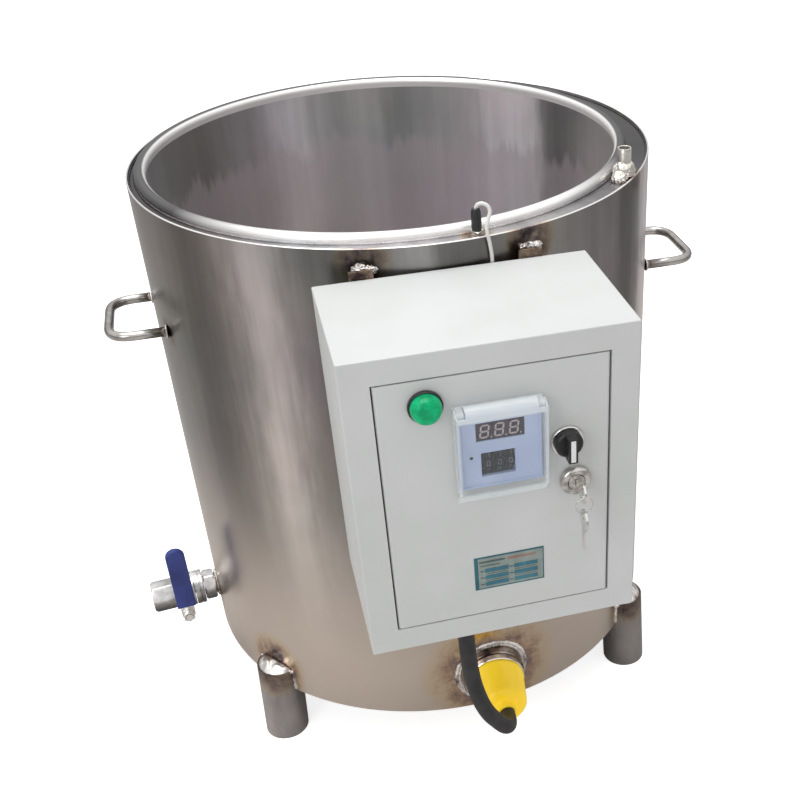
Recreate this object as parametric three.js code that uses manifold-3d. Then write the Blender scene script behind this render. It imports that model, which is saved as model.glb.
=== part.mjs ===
// A wax melting machine for candle making: a jacketed stainless vessel on four pipe legs,
// with an immersion heater, a drain valve and a control box hung on its front.
// Millimetres, +Z up. The control box faces -Y and the drain valve points to -X.
import * as THREE from 'three';
import { mergeVertices } from 'three/addons/utils/BufferGeometryUtils.js';
import Module from 'manifold-3d';

const wasm = await Module();
wasm.setup();

// Driving dimensions of the vessel
const shellDiameter = 550;
const shellHeight = 570;
const shellWall = 2;
const jacketGap = 27;
const potDepth = 480;
const potWall = 2;
const potShiftX = -8;
const potShiftY = 3;
const legHeight = 70;

// Driving dimensions of the control box
const boxWidth = 250;
const boxHeight = 300;
const boxDepth = 150;
const boxSheet = 1.5;
const boxShiftX = 4;
const boxDrop = 23;
const boxStandoff = 3;

// Driving dimensions of the fittings
const drainPipeDiameter = 26.9;
const drainBore = 20;
const drainHeight = 127;
const drainAngle = THREE.MathUtils.degToRad(186);
const heaterX = 20;
const heaterHeight = 118;
const cableDiameter = 17;
const leadDiameter = 3.5;

// Clearances and cutting
const gap = 0.3;
const overrun = 4;
const vesselFacets = 60;
const roundFacets = 20;
const smallFacets = 12;
const half = 1 / 2;
const quarterTurn = Math.PI / 2;
const fullTurn = Math.PI * 2;

// Levels that several pieces share
const shellRadius = shellDiameter * half;
const shellInner = shellRadius - shellWall;
const rimLevel = legHeight + shellHeight;
const potRadius = shellRadius - jacketGap;
const potFloorLevel = rimLevel - potDepth;
const boxRear = -(shellRadius + boxStandoff);
const boxFront = boxRear - boxDepth;
const boxTop = rimLevel - boxDrop;
const boxBottom = boxTop - boxHeight;

// Working in solids
function toSolid(geometry) {
  const bare = geometry.clone();
  bare.deleteAttribute('normal');
  bare.deleteAttribute('uv');
  const merged = mergeVertices(bare);
  const places = merged.attributes.position.array;
  const corner = (k) => new THREE.Vector3().fromArray(places, k * 3);
  const index = [];
  let volume = 0;
  for (let i = 0; i < merged.index.count; i += 3) {
    const [a, b, c] = merged.index.array.slice(i, i + 3);
    if (a === b || b === c || c === a) continue;
    index.push(a, b, c);
    volume += corner(a).dot(corner(b).cross(corner(c)));
  }
  if (volume < 0) index.reverse();
  const mesh = { numProp: 3, vertProperties: places, triVerts: new Uint32Array(index) };
  return new wasm.Manifold(new wasm.Mesh(mesh));
}

function toGeometry(solid) {
  const mesh = solid.getMesh();
  const geometry = new THREE.BufferGeometry();
  geometry.setAttribute('position', new THREE.BufferAttribute(mesh.vertProperties, 3));
  geometry.setIndex(new THREE.BufferAttribute(mesh.triVerts, 1));
  geometry.computeVertexNormals();
  return geometry;
}

const fuse = (first, ...others) => others.reduce((sum, next) => sum.add(next), first);
const carve = (first, ...cutters) => cutters.reduce((rest, cutter) => rest.subtract(cutter), first);

// A block given by its lowest and highest corners
function block(low, high) {
  const size = high.map((value, k) => value - low[k]);
  const middle = high.map((value, k) => (value + low[k]) * half);
  return toSolid(new THREE.BoxGeometry(...size).translate(...middle));
}

// A form turned about the vertical from points of radius and height
function turned(points, facets = roundFacets) {
  const profile = points.map(([radius, height]) => new THREE.Vector2(radius, height));
  return toSolid(new THREE.LatheGeometry(profile, facets).rotateX(quarterTurn));
}

// An upright rod from one height to another
function rod(radius, low, high, facets = roundFacets) {
  return turned([[0, low], [radius, low], [radius, high], [0, high]], facets);
}

// An upright tube from one height to another
function tube(outer, inner, low, high, facets = roundFacets) {
  return turned([[inner, low], [outer, low], [outer, high], [inner, high], [inner, low]], facets);
}

// An upright hexagonal bar, its size given across the flats
function hexBar(acrossFlats, low, high) {
  const sides = 6;
  const radius = acrossFlats * half / Math.cos(Math.PI / sides);
  return rod(radius, low, high, sides);
}

// A flat shape pulled upright from one height to another
function pulled(shape, low, high, curveSegments = smallFacets) {
  const options = { depth: high - low, bevelEnabled: false, curveSegments };
  return toSolid(new THREE.ExtrudeGeometry(shape, options).translate(0, 0, low));
}

// A round bar or tube bent along a curve
function swept(curve, radius, bore, sides, steps) {
  const section = new THREE.Shape().absarc(0, 0, radius, 0, fullTurn);
  if (bore > 0) section.holes.push(new THREE.Path().absarc(0, 0, bore, 0, fullTurn));
  const options = { steps, extrudePath: curve, bevelEnabled: false, curveSegments: sides * half };
  return toSolid(new THREE.ExtrudeGeometry(section, options));
}

// A path of straight runs with a round bend at each inner corner
function bentPath(corners, bend) {
  const path = new THREE.CurvePath();
  let from = corners[0];
  for (let k = 1; k < corners.length - 1; k += 1) {
    const corner = corners[k];
    const back = from.clone().sub(corner).normalize();
    const ahead = corners[k + 1].clone().sub(corner).normalize();
    const turn = Math.PI - back.angleTo(ahead);
    const reach = bend * Math.tan(turn * half);
    const start = corner.clone().addScaledVector(back, reach);
    const end = corner.clone().addScaledVector(ahead, reach);
    path.add(new THREE.LineCurve3(from, start));
    path.add(new THREE.QuadraticBezierCurve3(start, corner, end));
    from = end;
  }
  path.add(new THREE.LineCurve3(from, corners[corners.length - 1]));
  return path;
}

// Turning an upright form to lie along Y, its top towards the front
const forward = (solid) => solid.rotate([90, 0, 0]);
// Turning an upright form to lie along X, its top towards +X
const sideways = (solid) => solid.rotate([0, 90, 0]);

// Finishes of the pieces
function finish(color, roughness, metalness) {
  return new THREE.MeshStandardMaterial({ color, roughness, metalness });
}
const steel = () => finish(0xa39d97, 0.3, 1);
const polished = () => finish(0xd6d3cf, 0.18, 1);
const dullSteel = () => finish(0x8b8884, 0.45, 1);
const paint = () => finish(0xcfd2cf, 0.5, 0);
const blackPlastic = () => finish(0x1d1e20, 0.45, 0);
const clearPlastic = () => finish(0xdfe6ea, 0.12, 0);
const seatPlastic = () => finish(0xf2f0ea, 0.6, 0);

function piece(name, solid, material) {
  const mesh = new THREE.Mesh(toGeometry(solid), material);
  mesh.name = name;
  return mesh;
}

const machine = new THREE.Group();

// Drain fittings: sizes that the vessel's holes follow
const drainPipeRadius = drainPipeDiameter * half;
const drainPipeWall = 3;
const drainInletInset = 58;
const drainInletX = potRadius - drainInletInset;
const drainBoreRadius = drainBore * half;
const drainX = Math.cos(drainAngle);
const drainY = Math.sin(drainAngle);

// Heater fittings: sizes that the shell's hole follows
const socketRadius = 36;

// Outer shell of the jacket, with the holes for the heater socket and the drain pipe
function outerShell() {
  const wall = tube(shellRadius, shellInner, legHeight, rimLevel, vesselFacets);
  const heaterHole = forward(rod(socketRadius + gap, 0, shellRadius + overrun, roundFacets))
    .translate([heaterX, 0, heaterHeight]);
  const drainHole = sideways(rod(drainPipeRadius + gap, 0, shellRadius + overrun))
    .rotate([0, 0, THREE.MathUtils.radToDeg(drainAngle)])
    .translate([0, 0, drainHeight]);
  return carve(wall, heaterHole, drainHole);
}

function shellBottom() {
  return rod(shellInner - gap, legHeight, legHeight + shellWall, vesselFacets);
}

// Inner pot, spun from sheet, with a rim rolled into a bead and a drain hole in its floor
const beadRadius = 6;
const potCorner = 25;
const cornerSteps = 3;
const beadSteps = 6;
const beadCentre = potRadius + beadRadius - potWall * half;
const beadLevel = rimLevel;

function arcPoints(centreRadius, centreLevel, radius, from, to, steps) {
  const points = [];
  for (let k = 0; k <= steps; k += 1) {
    const angle = from + (to - from) * k / steps;
    points.push([centreRadius + radius * Math.cos(angle), centreLevel + radius * Math.sin(angle)]);
  }
  return points;
}

function innerPot() {
  const outer = potRadius + potWall;
  const innerMeet = Math.PI + Math.acos((beadCentre - potRadius) / beadRadius);
  const outerMeet = Math.PI + Math.acos((beadCentre - outer) / beadRadius) - fullTurn;
  const cornerAt = potRadius - potCorner;
  const cornerLevel = potFloorLevel + potCorner;
  const profile = [
    [0, potFloorLevel],
    ...arcPoints(cornerAt, cornerLevel, potCorner, -quarterTurn, 0, cornerSteps),
    ...arcPoints(beadCentre, beadLevel, beadRadius, innerMeet, outerMeet, beadSteps),
    ...arcPoints(cornerAt, cornerLevel, potCorner + potWall, 0, -quarterTurn, cornerSteps),
    [0, potFloorLevel - potWall],
  ];
  const pot = turned(profile, vesselFacets).translate([potShiftX, potShiftY, 0]);
  const bore = drainPipeRadius - drainPipeWall;
  const low = potFloorLevel - potWall - overrun;
  const drainHole = rod(bore, low, potFloorLevel + overrun)
    .translate([drainInletX * drainX, drainInletX * drainY, 0]);
  return carve(pot, drainHole);
}

// Flat ring that closes the jacket at the top, sunk a little below the edge of the shell
const ringDrop = 3;
const ringTop = rimLevel - ringDrop;
const ringBottom = ringTop - shellWall;

// Filling port of the jacket: a short open tube welded into the ring
const portRadius = 7;
const portWall = 1.5;
const portHeight = 26;
const portWeldRadius = 10.5;
const portWeldHeight = 6;
const portAngle = THREE.MathUtils.degToRad(-37.7);
const fittingDepth = 6;

// Probe fitting: a small gland in the ring, over the gap between pot and shell
const probeAngle = THREE.MathUtils.degToRad(-83.05);
const probeOutset = 0.4;
const probeRodRadius = 2.5;
const probeStemRadius = 4;
const probeNutSize = 11;
const probeNutHeight = 6;
const probeRodLength = 240;
const sleeveRadius = 4.7;
const sleeveLength = 20;
const sleeveGrip = 8;

// Distance from the vessel's axis to the middle of the ring, which narrows towards the pot's side
function ringMiddle(angle) {
  const beadOuter = beadCentre + beadRadius + potShiftX * Math.cos(angle) + potShiftY * Math.sin(angle);
  return (shellInner + beadOuter) * half;
}

const portX = ringMiddle(portAngle) * Math.cos(portAngle);
const portY = ringMiddle(portAngle) * Math.sin(portAngle);
const probeX = (ringMiddle(probeAngle) + probeOutset) * Math.cos(probeAngle);
const probeY = (ringMiddle(probeAngle) + probeOutset) * Math.sin(probeAngle);

function jacketTopRing() {
  const disc = rod(shellInner - gap, ringBottom, ringTop, vesselFacets);
  const mouth = rod(beadCentre + beadRadius + gap, ringBottom - overrun, ringTop + overrun, vesselFacets)
    .translate([potShiftX, potShiftY, 0]);
  const portHole = rod(portRadius + gap, ringBottom - overrun, ringTop + overrun)
    .translate([portX, portY, 0]);
  const probeHole = rod(probeStemRadius + gap, ringBottom - overrun, ringTop + overrun)
    .translate([probeX, probeY, 0]);
  return carve(disc, mouth, portHole, probeHole);
}

function fillPort() {
  const inner = portRadius - portWall;
  const low = ringBottom - fittingDepth;
  const weldTop = ringTop + portWeldHeight;
  const mouth = rimLevel + portHeight;
  return turned([
    [inner, low], [portRadius, low], [portRadius, ringTop], [portWeldRadius, ringTop],
    [portWeldRadius * half + portRadius * half, ringTop + portWeldHeight * half],
    [portRadius, weldTop], [portRadius, mouth], [inner, mouth], [inner, low],
  ]).translate([portX, portY, 0]);
}

function probeFitting() {
  const bore = probeRodRadius + gap;
  const nut = hexBar(probeNutSize, ringTop, ringTop + probeNutHeight);
  const stem = rod(probeStemRadius, ringBottom - fittingDepth, ringTop + gap, smallFacets);
  const low = ringBottom - fittingDepth - overrun;
  const hole = rod(bore, low, ringTop + probeNutHeight + overrun, smallFacets);
  return carve(fuse(nut, stem), hole).translate([probeX, probeY, 0]);
}

const sleeveLow = ringTop + probeNutHeight + gap;
const sleeveHigh = sleeveLow + sleeveLength;
const leadRadius = leadDiameter * half;
const leadSocket = 4;

function probeRod() {
  const low = ringTop - probeRodLength;
  const high = sleeveLow + sleeveGrip;
  return turned([
    [0, low], [probeRodRadius, low + probeRodRadius], [probeRodRadius, high], [0, high],
  ], smallFacets).translate([probeX, probeY, 0]);
}

function probeSleeve() {
  const shoulder = sleeveRadius * half;
  const body = turned([
    [0, sleeveLow], [sleeveRadius, sleeveLow], [sleeveRadius, sleeveHigh - shoulder],
    [sleeveRadius - shoulder * half, sleeveHigh], [0, sleeveHigh],
  ], smallFacets);
  const grip = rod(probeRodRadius + gap, sleeveLow - overrun, sleeveLow + sleeveGrip + gap, smallFacets);
  const socket = rod(leadRadius + gap, sleeveHigh - leadSocket, sleeveHigh + overrun, smallFacets);
  return carve(body, grip, socket).translate([probeX, probeY, 0]);
}

// Legs: stainless pipes, leaning out a little, notched to lap over the lower edge of the shell
const legRadius = 25.5;
const legWall = 2;
const legLap = 30;
const legOutset = 2;
const legFootRadius = shellRadius + legOutset;
const legLeanAngle = THREE.MathUtils.degToRad(3);
const legAngle = THREE.MathUtils.degToRad(52);

function leg(aroundFromFront) {
  const top = legHeight + legLap;
  const lean = Math.tan(legLeanAngle);
  const reach = top + overrun;
  const pipe = tube(legRadius, legRadius - legWall, -overrun, reach)
    .transform(leanMatrix(-lean))
    .translate([legFootRadius, 0, 0]);
  const size = legFootRadius + legRadius * 2;
  const keep = block([0, -legRadius * 2, 0], [size, legRadius * 2, top]);
  const turnedPipe = pipe.intersect(keep).rotate([0, 0, THREE.MathUtils.radToDeg(aroundFromFront) - 90]);
  const vessel = rod(shellRadius + gap, legHeight - gap, top + overrun, vesselFacets);
  return carve(turnedPipe, vessel);
}

// A shear that moves each level sideways along X in step with its height, column by column
function leanMatrix(lean) {
  return [1, 0, 0, 0, 0, 1, 0, 0, lean, 0, 1, 0, 0, 0, 0, 1];
}

// Carrying handles: bent rods welded to the shell
const handleRadius = 5;
const handleStandout = 45;
const handleReach = shellRadius + handleStandout;
const handleSpan = 92;
const handleBend = 19;
const handleShiftY = -42;
const handleDrop = 136;
const handleSteps = 24;
const handleSides = 10;

function handle(side) {
  const level = rimLevel - handleDrop;
  const start = shellRadius * Math.cos(Math.asin((handleShiftY - handleSpan * half) / shellRadius)) - overrun;
  const near = handleShiftY - handleSpan * half;
  const far = handleShiftY + handleSpan * half;
  const path = bentPath([
    new THREE.Vector3(side * start, near, level),
    new THREE.Vector3(side * handleReach, near, level),
    new THREE.Vector3(side * handleReach, far, level),
    new THREE.Vector3(side * start, far, level),
  ], handleBend);
  const bar = swept(path, handleRadius, 0, handleSides, handleSteps);
  const low = level - handleRadius * 2;
  const high = level + handleRadius * 2;
  return carve(bar, rod(shellRadius + gap, low, high, vesselFacets));
}

machine.add(
  piece('outer_shell', outerShell(), steel()),
  piece('shell_bottom', shellBottom(), dullSteel()),
  piece('jacket_top_ring', jacketTopRing(), dullSteel()),
  piece('inner_pot', innerPot(), steel()),
  piece('fill_port', fillPort(), steel()),
  piece('probe_fitting', probeFitting(), polished()),
  piece('probe_rod', probeRod(), polished()),
  piece('probe_sleeve', probeSleeve(), finish(0x17171a, 0.6, 0)),
  piece('leg_front_left', leg(-legAngle), dullSteel()),
  piece('leg_front_right', leg(legAngle), dullSteel()),
  piece('leg_rear_left', leg(legAngle - Math.PI), dullSteel()),
  piece('leg_rear_right', leg(Math.PI - legAngle), dullSteel()),
  piece('handle_left', handle(-1), polished()),
  piece('handle_right', handle(1), polished()),
);

// Drain line and ball valve, in a group turned so that X runs outwards and Y to the front
const drainStub = 3;
const nippleHexSize = 32;
const nippleHexLength = 14;
const nippleThread = 12;
const nippleThreadWall = 3;
const valveLength = 62;
const valveEndLength = 11;
const valveBarrelRadius = 21;
const valveBarrelLength = 24;
const valveHexSize = 33;
const spigotRadius = 17;
const spigotLength = 2;
const ballRadius = 15;
const ballFacets = 20;
const seatLength = 3;
const chamber = ballRadius + gap + gap * half;
const elbowBend = 24;
const elbowSteps = 14;
const pipeSides = 16;
const threadRadius = 12.6;

const nippleStart = shellRadius + drainStub + gap;
const nippleEnd = nippleStart + nippleHexLength;
const endStart = nippleEnd + gap;
const bodyStart = endStart + valveEndLength + gap;
const valveTip = endStart + valveLength;
const seatStart = bodyStart + spigotLength + gap;
const ballX = seatStart + Math.sqrt(ballRadius ** 2 - drainBoreRadius ** 2) - gap;
const chamberEnd = 2 * ballX - seatStart;

function drainPipe() {
  const inletTop = potFloorLevel - potWall - gap - drainHeight;
  const path = bentPath([
    new THREE.Vector3(drainInletX, 0, inletTop),
    new THREE.Vector3(drainInletX, 0, 0),
    new THREE.Vector3(shellRadius + drainStub, 0, 0),
  ], elbowBend);
  return swept(path, drainPipeRadius, drainPipeRadius - drainPipeWall, pipeSides, elbowSteps);
}

function drainNipple() {
  const innerRadius = drainPipeRadius - drainPipeWall - gap;
  const outerRadius = drainBoreRadius + nippleThreadWall - gap;
  const hex = hexBar(nippleHexSize, nippleStart, nippleEnd);
  const inner = rod(innerRadius, nippleStart - nippleThread, nippleStart + gap);
  const outer = rod(outerRadius, nippleEnd - gap, nippleEnd + nippleThread * half);
  const bore = rod(innerRadius - nippleThreadWall * half, nippleStart - nippleThread - overrun, valveTip);
  return sideways(carve(fuse(hex, inner, outer), bore));
}

function valveEnd() {
  const lip = shellWall;
  const flange = turned([
    [0, endStart], [valveBarrelRadius - lip, endStart], [valveBarrelRadius, endStart + lip],
    [valveBarrelRadius, bodyStart - gap], [0, bodyStart - gap],
  ]);
  const spigot = rod(spigotRadius, bodyStart - gap * 2, bodyStart + spigotLength);
  const socketEdge = nippleEnd + nippleThread * half + gap;
  const socket = rod(drainBoreRadius + nippleThreadWall, endStart - overrun, socketEdge);
  const bore = rod(drainBoreRadius, endStart - overrun, valveTip);
  const part = sideways(carve(fuse(flange, spigot), socket, bore));
  return carve(part, ballShape(ballRadius + gap));
}

function ballShape(radius) {
  return toSolid(new THREE.SphereGeometry(radius, ballFacets, ballFacets * half)).translate([ballX, 0, 0]);
}

// Stem, packing and lever: sizes along the stem, which points to the front
const stemRadius = 4.5;
const stemBossRadius = 9.5;
const stemBossReach = 30;
const packingNutSize = 16;
const packingNutLength = 7;
const leverStandoff = 9;
const leverThickness = 3;
const leverWidth = 16;
const leverLength = 94;
const gripWidth = 22;
const gripThickness = 8;
const gripStart = 13;
const gripLength = 84;
const leverNutSize = 13;
const leverNutLength = 6;
const tangThickness = 4;
const tangWidth = 8;
const tangDepth = 4;
const slotFloor = ballRadius - tangDepth - gap;

const packingStart = stemBossReach + gap;
const leverStart = packingStart + packingNutLength + leverStandoff;
const leverEnd = leverStart + leverThickness;
const leverNutStart = leverEnd + gap;

// An upright form stood on the stem's axis, its top towards the front of the machine
const onStem = (solid) => solid.rotate([-90, 0, 0]).translate([ballX, 0, 0]);

function valveBody() {
  const barrelEnd = bodyStart + valveBarrelLength;
  const neckRadius = valveHexSize * half;
  const barrel = turned([
    [0, bodyStart], [valveBarrelRadius, bodyStart], [valveBarrelRadius, barrelEnd - shellWall],
    [neckRadius, barrelEnd + shellWall], [0, barrelEnd + shellWall],
  ]);
  const hex = hexBar(valveHexSize, barrelEnd, valveTip);
  const boss = onStem(rod(stemBossRadius, 0, stemBossReach));
  const shape = fuse(sideways(fuse(barrel, hex)), boss);
  const spigotHole = rod(spigotRadius + gap, bodyStart - overrun, seatStart);
  const room = rod(chamber, seatStart - gap, chamberEnd);
  const bore = rod(drainBoreRadius, bodyStart, valveTip + overrun);
  const thread = rod(threadRadius, valveTip - nippleThread, valveTip + overrun);
  const stemHole = onStem(rod(stemRadius + gap, 0, stemBossReach + overrun, smallFacets));
  return carve(shape, sideways(fuse(spigotHole, room, bore, thread)), stemHole, ballShape(ballRadius + gap));
}

function ballSeat(start, end) {
  const ring = sideways(tube(chamber - gap, drainBoreRadius + gap, start, end));
  return carve(ring, ballShape(ballRadius + gap));
}

function valveBall() {
  const bore = sideways(rod(drainBoreRadius, ballX - ballRadius - overrun, ballX + ballRadius + overrun));
  const wide = tangWidth * half + gap;
  const thin = tangThickness * half + gap;
  const slot = block([-wide, -thin, slotFloor], [wide, thin, ballRadius + overrun]);
  const turnedBore = bore.translate([-ballX, 0, 0]).rotate([0, 90, 0]).translate([ballX, 0, 0]);
  return carve(ballShape(ballRadius), turnedBore, onStem(slot.rotate([0, 0, 90])));
}

function valveStem() {
  const wide = tangWidth * half;
  const thin = tangThickness * half;
  const tang = block([-wide, -thin, slotFloor + gap], [wide, thin, ballRadius + gap * 2]).rotate([0, 0, 90]);
  const shaft = rod(stemRadius, ballRadius + gap, leverNutStart + leverNutLength + gap, smallFacets);
  return onStem(fuse(shaft, tang));
}

function packingNut() {
  const nut = hexBar(packingNutSize, packingStart, packingStart + packingNutLength);
  return onStem(carve(nut, rod(stemRadius + gap, 0, leverStart, smallFacets)));
}

// The lever stands upright when the valve is shut; its outline is drawn upwards from the stem
function stripOutline(width, start, end) {
  const side = width * half;
  const shape = new THREE.Shape();
  shape.moveTo(side, start);
  shape.lineTo(side, end - side);
  shape.absarc(0, end - side, side, 0, Math.PI);
  shape.lineTo(-side, start);
  shape.closePath();
  return shape;
}

// A flat outline stood upright in front of the stem, between two distances from the valve's axis
function upright(shape, low, high) {
  return pulled(shape, -high, -low).rotate([90, 0, 0]).translate([ballX, 0, 0]);
}

function valveLever() {
  const strip = upright(stripOutline(leverWidth, 0, leverLength), leverStart, leverEnd);
  const eye = onStem(rod(leverWidth * half, leverStart, leverEnd));
  const hole = onStem(rod(stemRadius + gap, leverStart - overrun, leverEnd + overrun, smallFacets));
  return carve(fuse(strip, eye), hole);
}

function leverGrip() {
  const slack = (gripThickness - leverThickness) * half;
  const outline = stripOutline(gripWidth, gripStart, gripStart + gripLength);
  const sleeve = upright(outline, leverStart - slack, leverEnd + slack);
  const inside = stripOutline(leverWidth + gap * 2, gripStart - overrun, leverLength + gap);
  return carve(sleeve, upright(inside, leverStart - gap, leverEnd + gap));
}

function leverNut() {
  const top = leverNutStart + leverNutLength;
  const nut = hexBar(leverNutSize, leverNutStart, top);
  return onStem(carve(nut, rod(stemRadius + gap, leverStart, top + overrun, smallFacets)));
}

const valve = new THREE.Group();
valve.position.z = drainHeight;
valve.rotation.z = drainAngle;
valve.add(
  piece('drain_pipe', drainPipe(), dullSteel()),
  piece('drain_nipple', drainNipple(), polished()),
  piece('valve_end', valveEnd(), dullSteel()),
  piece('valve_body', valveBody(), dullSteel()),
  piece('ball_seat_inner', ballSeat(seatStart, seatStart + seatLength), seatPlastic()),
  piece('ball_seat_outer', ballSeat(chamberEnd - seatLength - gap, chamberEnd - gap), seatPlastic()),
  piece('valve_ball', valveBall(), polished()),
  piece('valve_stem', valveStem(), polished()),
  piece('packing_nut', packingNut(), polished()),
  piece('valve_lever', valveLever(), polished()),
  piece('lever_grip', leverGrip(), finish(0x26357a, 0.45, 0)),
  piece('lever_nut', leverNut(), polished()),
);
machine.add(valve);

// Immersion heater, in a group whose origin is the heater's axis; sizes are distances forward
// of the vessel's axis
const socketInset = 13;
const socketStandout = 10;
const plugRadius = 24;
const flangeRadius = 34;
const flangeLength = 8;
const elementRadius = 4;
const elementSpread = 9;
const elementReach = 210;
const elementSeat = 8;
const elementSides = 8;
const elementSteps = 16;
const capBaseRadius = 32;
const capEndRadius = 25;
const capRound = 6;
const capLength = 43;
const capWall = 3;
const bossRadius = 12;
const bossLength = 8;
const cableSeat = 5;
const cableRadius = cableDiameter * half;
const wireHole = 5;

const socketStart = shellRadius - socketInset;
const socketEnd = shellRadius + socketStandout;
const flangeStart = socketEnd + gap;
const flangeEnd = flangeStart + flangeLength;
const capStart = flangeEnd + gap;
const capEnd = capStart + capLength;
const bossEnd = capEnd + bossLength;

function heaterSocket() {
  return forward(tube(socketRadius, plugRadius + gap, socketStart, socketEnd));
}

function heaterPlug() {
  const thread = rod(plugRadius, socketStart, flangeStart + gap);
  const flange = rod(flangeRadius, flangeStart, flangeEnd);
  const seats = [];
  for (const x of [-elementSpread, elementSpread]) {
    for (const y of [-elementSpread, elementSpread]) {
      const seat = rod(elementRadius + gap, socketStart - overrun, socketStart + elementSeat, smallFacets);
      seats.push(seat.translate([x, y, 0]));
    }
  }
  return forward(carve(fuse(thread, flange), ...seats));
}

function heaterElement(side) {
  const outer = -(socketStart + elementSeat - gap);
  const inner = -(socketStart - elementReach);
  const path = bentPath([
    new THREE.Vector3(side * elementSpread, outer, elementSpread),
    new THREE.Vector3(side * elementSpread, inner, elementSpread),
    new THREE.Vector3(side * elementSpread, inner, -elementSpread),
    new THREE.Vector3(side * elementSpread, outer, -elementSpread),
  ], elementSpread - gap);
  return swept(path, elementRadius, 0, elementSides, elementSteps);
}

function heaterCap() {
  const skin = turned([
    [0, capStart], [capBaseRadius, capStart], [capEndRadius + capRound * half, capEnd - capRound],
    [capEndRadius - capRound * half, capEnd], [bossRadius, capEnd], [bossRadius - gap, bossEnd], [0, bossEnd],
  ]);
  const hollow = turned([
    [0, capStart - overrun], [capBaseRadius - capWall, capStart - overrun],
    [capBaseRadius - capWall, capStart], [capEndRadius - capWall, capEnd - capWall], [0, capEnd - capWall],
  ]);
  const seat = rod(cableRadius + gap, bossEnd - cableSeat, bossEnd + overrun);
  const wires = rod(wireHole, capStart, bossEnd + overrun);
  return forward(carve(skin, hollow, seat, wires));
}

const heater = new THREE.Group();
heater.position.set(heaterX, 0, heaterHeight);
heater.add(
  piece('heater_socket', heaterSocket(), dullSteel()),
  piece('heater_plug', heaterPlug(), polished()),
  piece('heater_element_left', heaterElement(-1), dullSteel()),
  piece('heater_element_right', heaterElement(1), dullSteel()),
  piece('heater_cap', heaterCap(), finish(0xf6cf2f, 0.4, 0)),
);
machine.add(heater);

// Brackets welded to the shell, which carry the control box
const bracketInset = 48;
const bracketX = boxWidth * half - bracketInset;
const bracketWidth = 22;
const bracketThickness = 2.5;
const bracketTab = 8;
const bracketLength = 280;
const bracketFootLength = 22;
const bracketFootInset = 18;

function boxBracket(side) {
  const low = side * bracketX - bracketWidth * half;
  const high = side * bracketX + bracketWidth * half;
  const top = boxTop + bracketTab;
  const bottom = top - bracketLength;
  const inner = boxRear + bracketThickness;
  const strip = block([low, boxRear, bottom], [high, inner, top]);
  const feet = [top - bracketFootInset - bracketFootLength, bottom + bracketFootInset].map((level) => (
    block([low, inner - gap, level], [high, -shellRadius * half, level + bracketFootLength])));
  return carve(fuse(strip, ...feet), rod(shellRadius + gap, bottom - overrun, top + overrun, vesselFacets));
}

machine.add(
  piece('box_bracket_left', boxBracket(-1), dullSteel()),
  piece('box_bracket_right', boxBracket(1), dullSteel()),
);

// Control box, in a group whose origin is the middle of the bottom edge of its front.
// X runs to the right, Y backwards into the box and Z up.
const frameSide = 25;
const frameTop = 23;
const frameBottom = 24;
const frameLip = 14;
const doorGap = 1.3;
const doorFlange = 12;
const doorCorner = 3;
const pivotInset = 3.6;
const pinRadius = 1.4;
const pinLength = 16;

const openingRight = boxWidth * half - frameSide;
const openingTop = boxHeight - frameTop;
const doorRight = openingRight - doorGap;
const doorTop = openingTop - doorGap;
const doorBottom = frameBottom + doorGap;
const pivotX = -doorRight + pivotInset;

// Gear on the door: places across from the middle of the box, and drops from its top
const lampX = -58;
const lampDrop = 47.5;
const controlX = 1.7;
const controlDrop = 96.2;
const selectorX = 60.5;
const selectorDrop = 102.5;
const lockShift = 1.95;
const lockDrop = 143.5;
const caseSize = 67;
const coverWidth = 77;

const lampZ = boxHeight - lampDrop;
const controlZ = boxHeight - controlDrop;
const selectorZ = boxHeight - selectorDrop;
const lockZ = boxHeight - lockDrop;
// The lock stands about midway between the controller's cover and the edge of the door
const lockX = (controlX + coverWidth * half + doorRight) * half - lockShift;

// Glands in the bottom of the box, for the heater's cable and the probe's lead
const glandX = -25;
const glandY = 73;
const glandThreadRadius = 12;
const glandHexSize = 30;
const glandHexLength = 6;
const glandDomeLength = 15;
const glandInside = 10;
const leadGlandX = 38;
const leadGlandInset = 22;
const leadGlandY = boxDepth - leadGlandInset;
const leadGlandRadius = 5.8;
const leadGlandHexSize = 15;
const leadGlandHexLength = 4;
const leadGlandDomeLength = 9;
const leadGlandInside = 7;

function boxBody() {
  const side = boxWidth * half;
  const outside = block([-side, 0, 0], [side, boxDepth, boxHeight]);
  const inner = side - boxSheet;
  const inside = block([-inner, boxSheet, boxSheet], [inner, boxDepth - boxSheet, boxHeight - boxSheet]);
  const lipSide = openingRight + boxSheet;
  const lip = block([-lipSide, 0, frameBottom - boxSheet], [lipSide, frameLip, openingTop + boxSheet]);
  const opening = block([-openingRight, -overrun, frameBottom],
    [openingRight, frameLip + overrun, openingTop]);
  const pinHole = rod(pinRadius + gap, frameBottom - overrun, openingTop + overrun, smallFacets)
    .translate([pivotX, pivotInset, 0]);
  const glandHole = rod(glandThreadRadius + gap, -overrun, boxSheet + overrun, smallFacets)
    .translate([glandX, glandY, 0]);
  const leadHole = rod(leadGlandRadius + gap, -overrun, boxSheet + overrun, smallFacets)
    .translate([leadGlandX, leadGlandY, 0]);
  return carve(fuse(carve(outside, inside), lip), opening, pinHole, glandHole, leadHole);
}

// Hinge pins: short rods through the lip of the frame and the folded edge of the door
function hingePin(middle) {
  return rod(pinRadius, middle - pinLength * half, middle + pinLength * half, smallFacets)
    .translate([pivotX, pivotInset, 0]);
}

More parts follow.
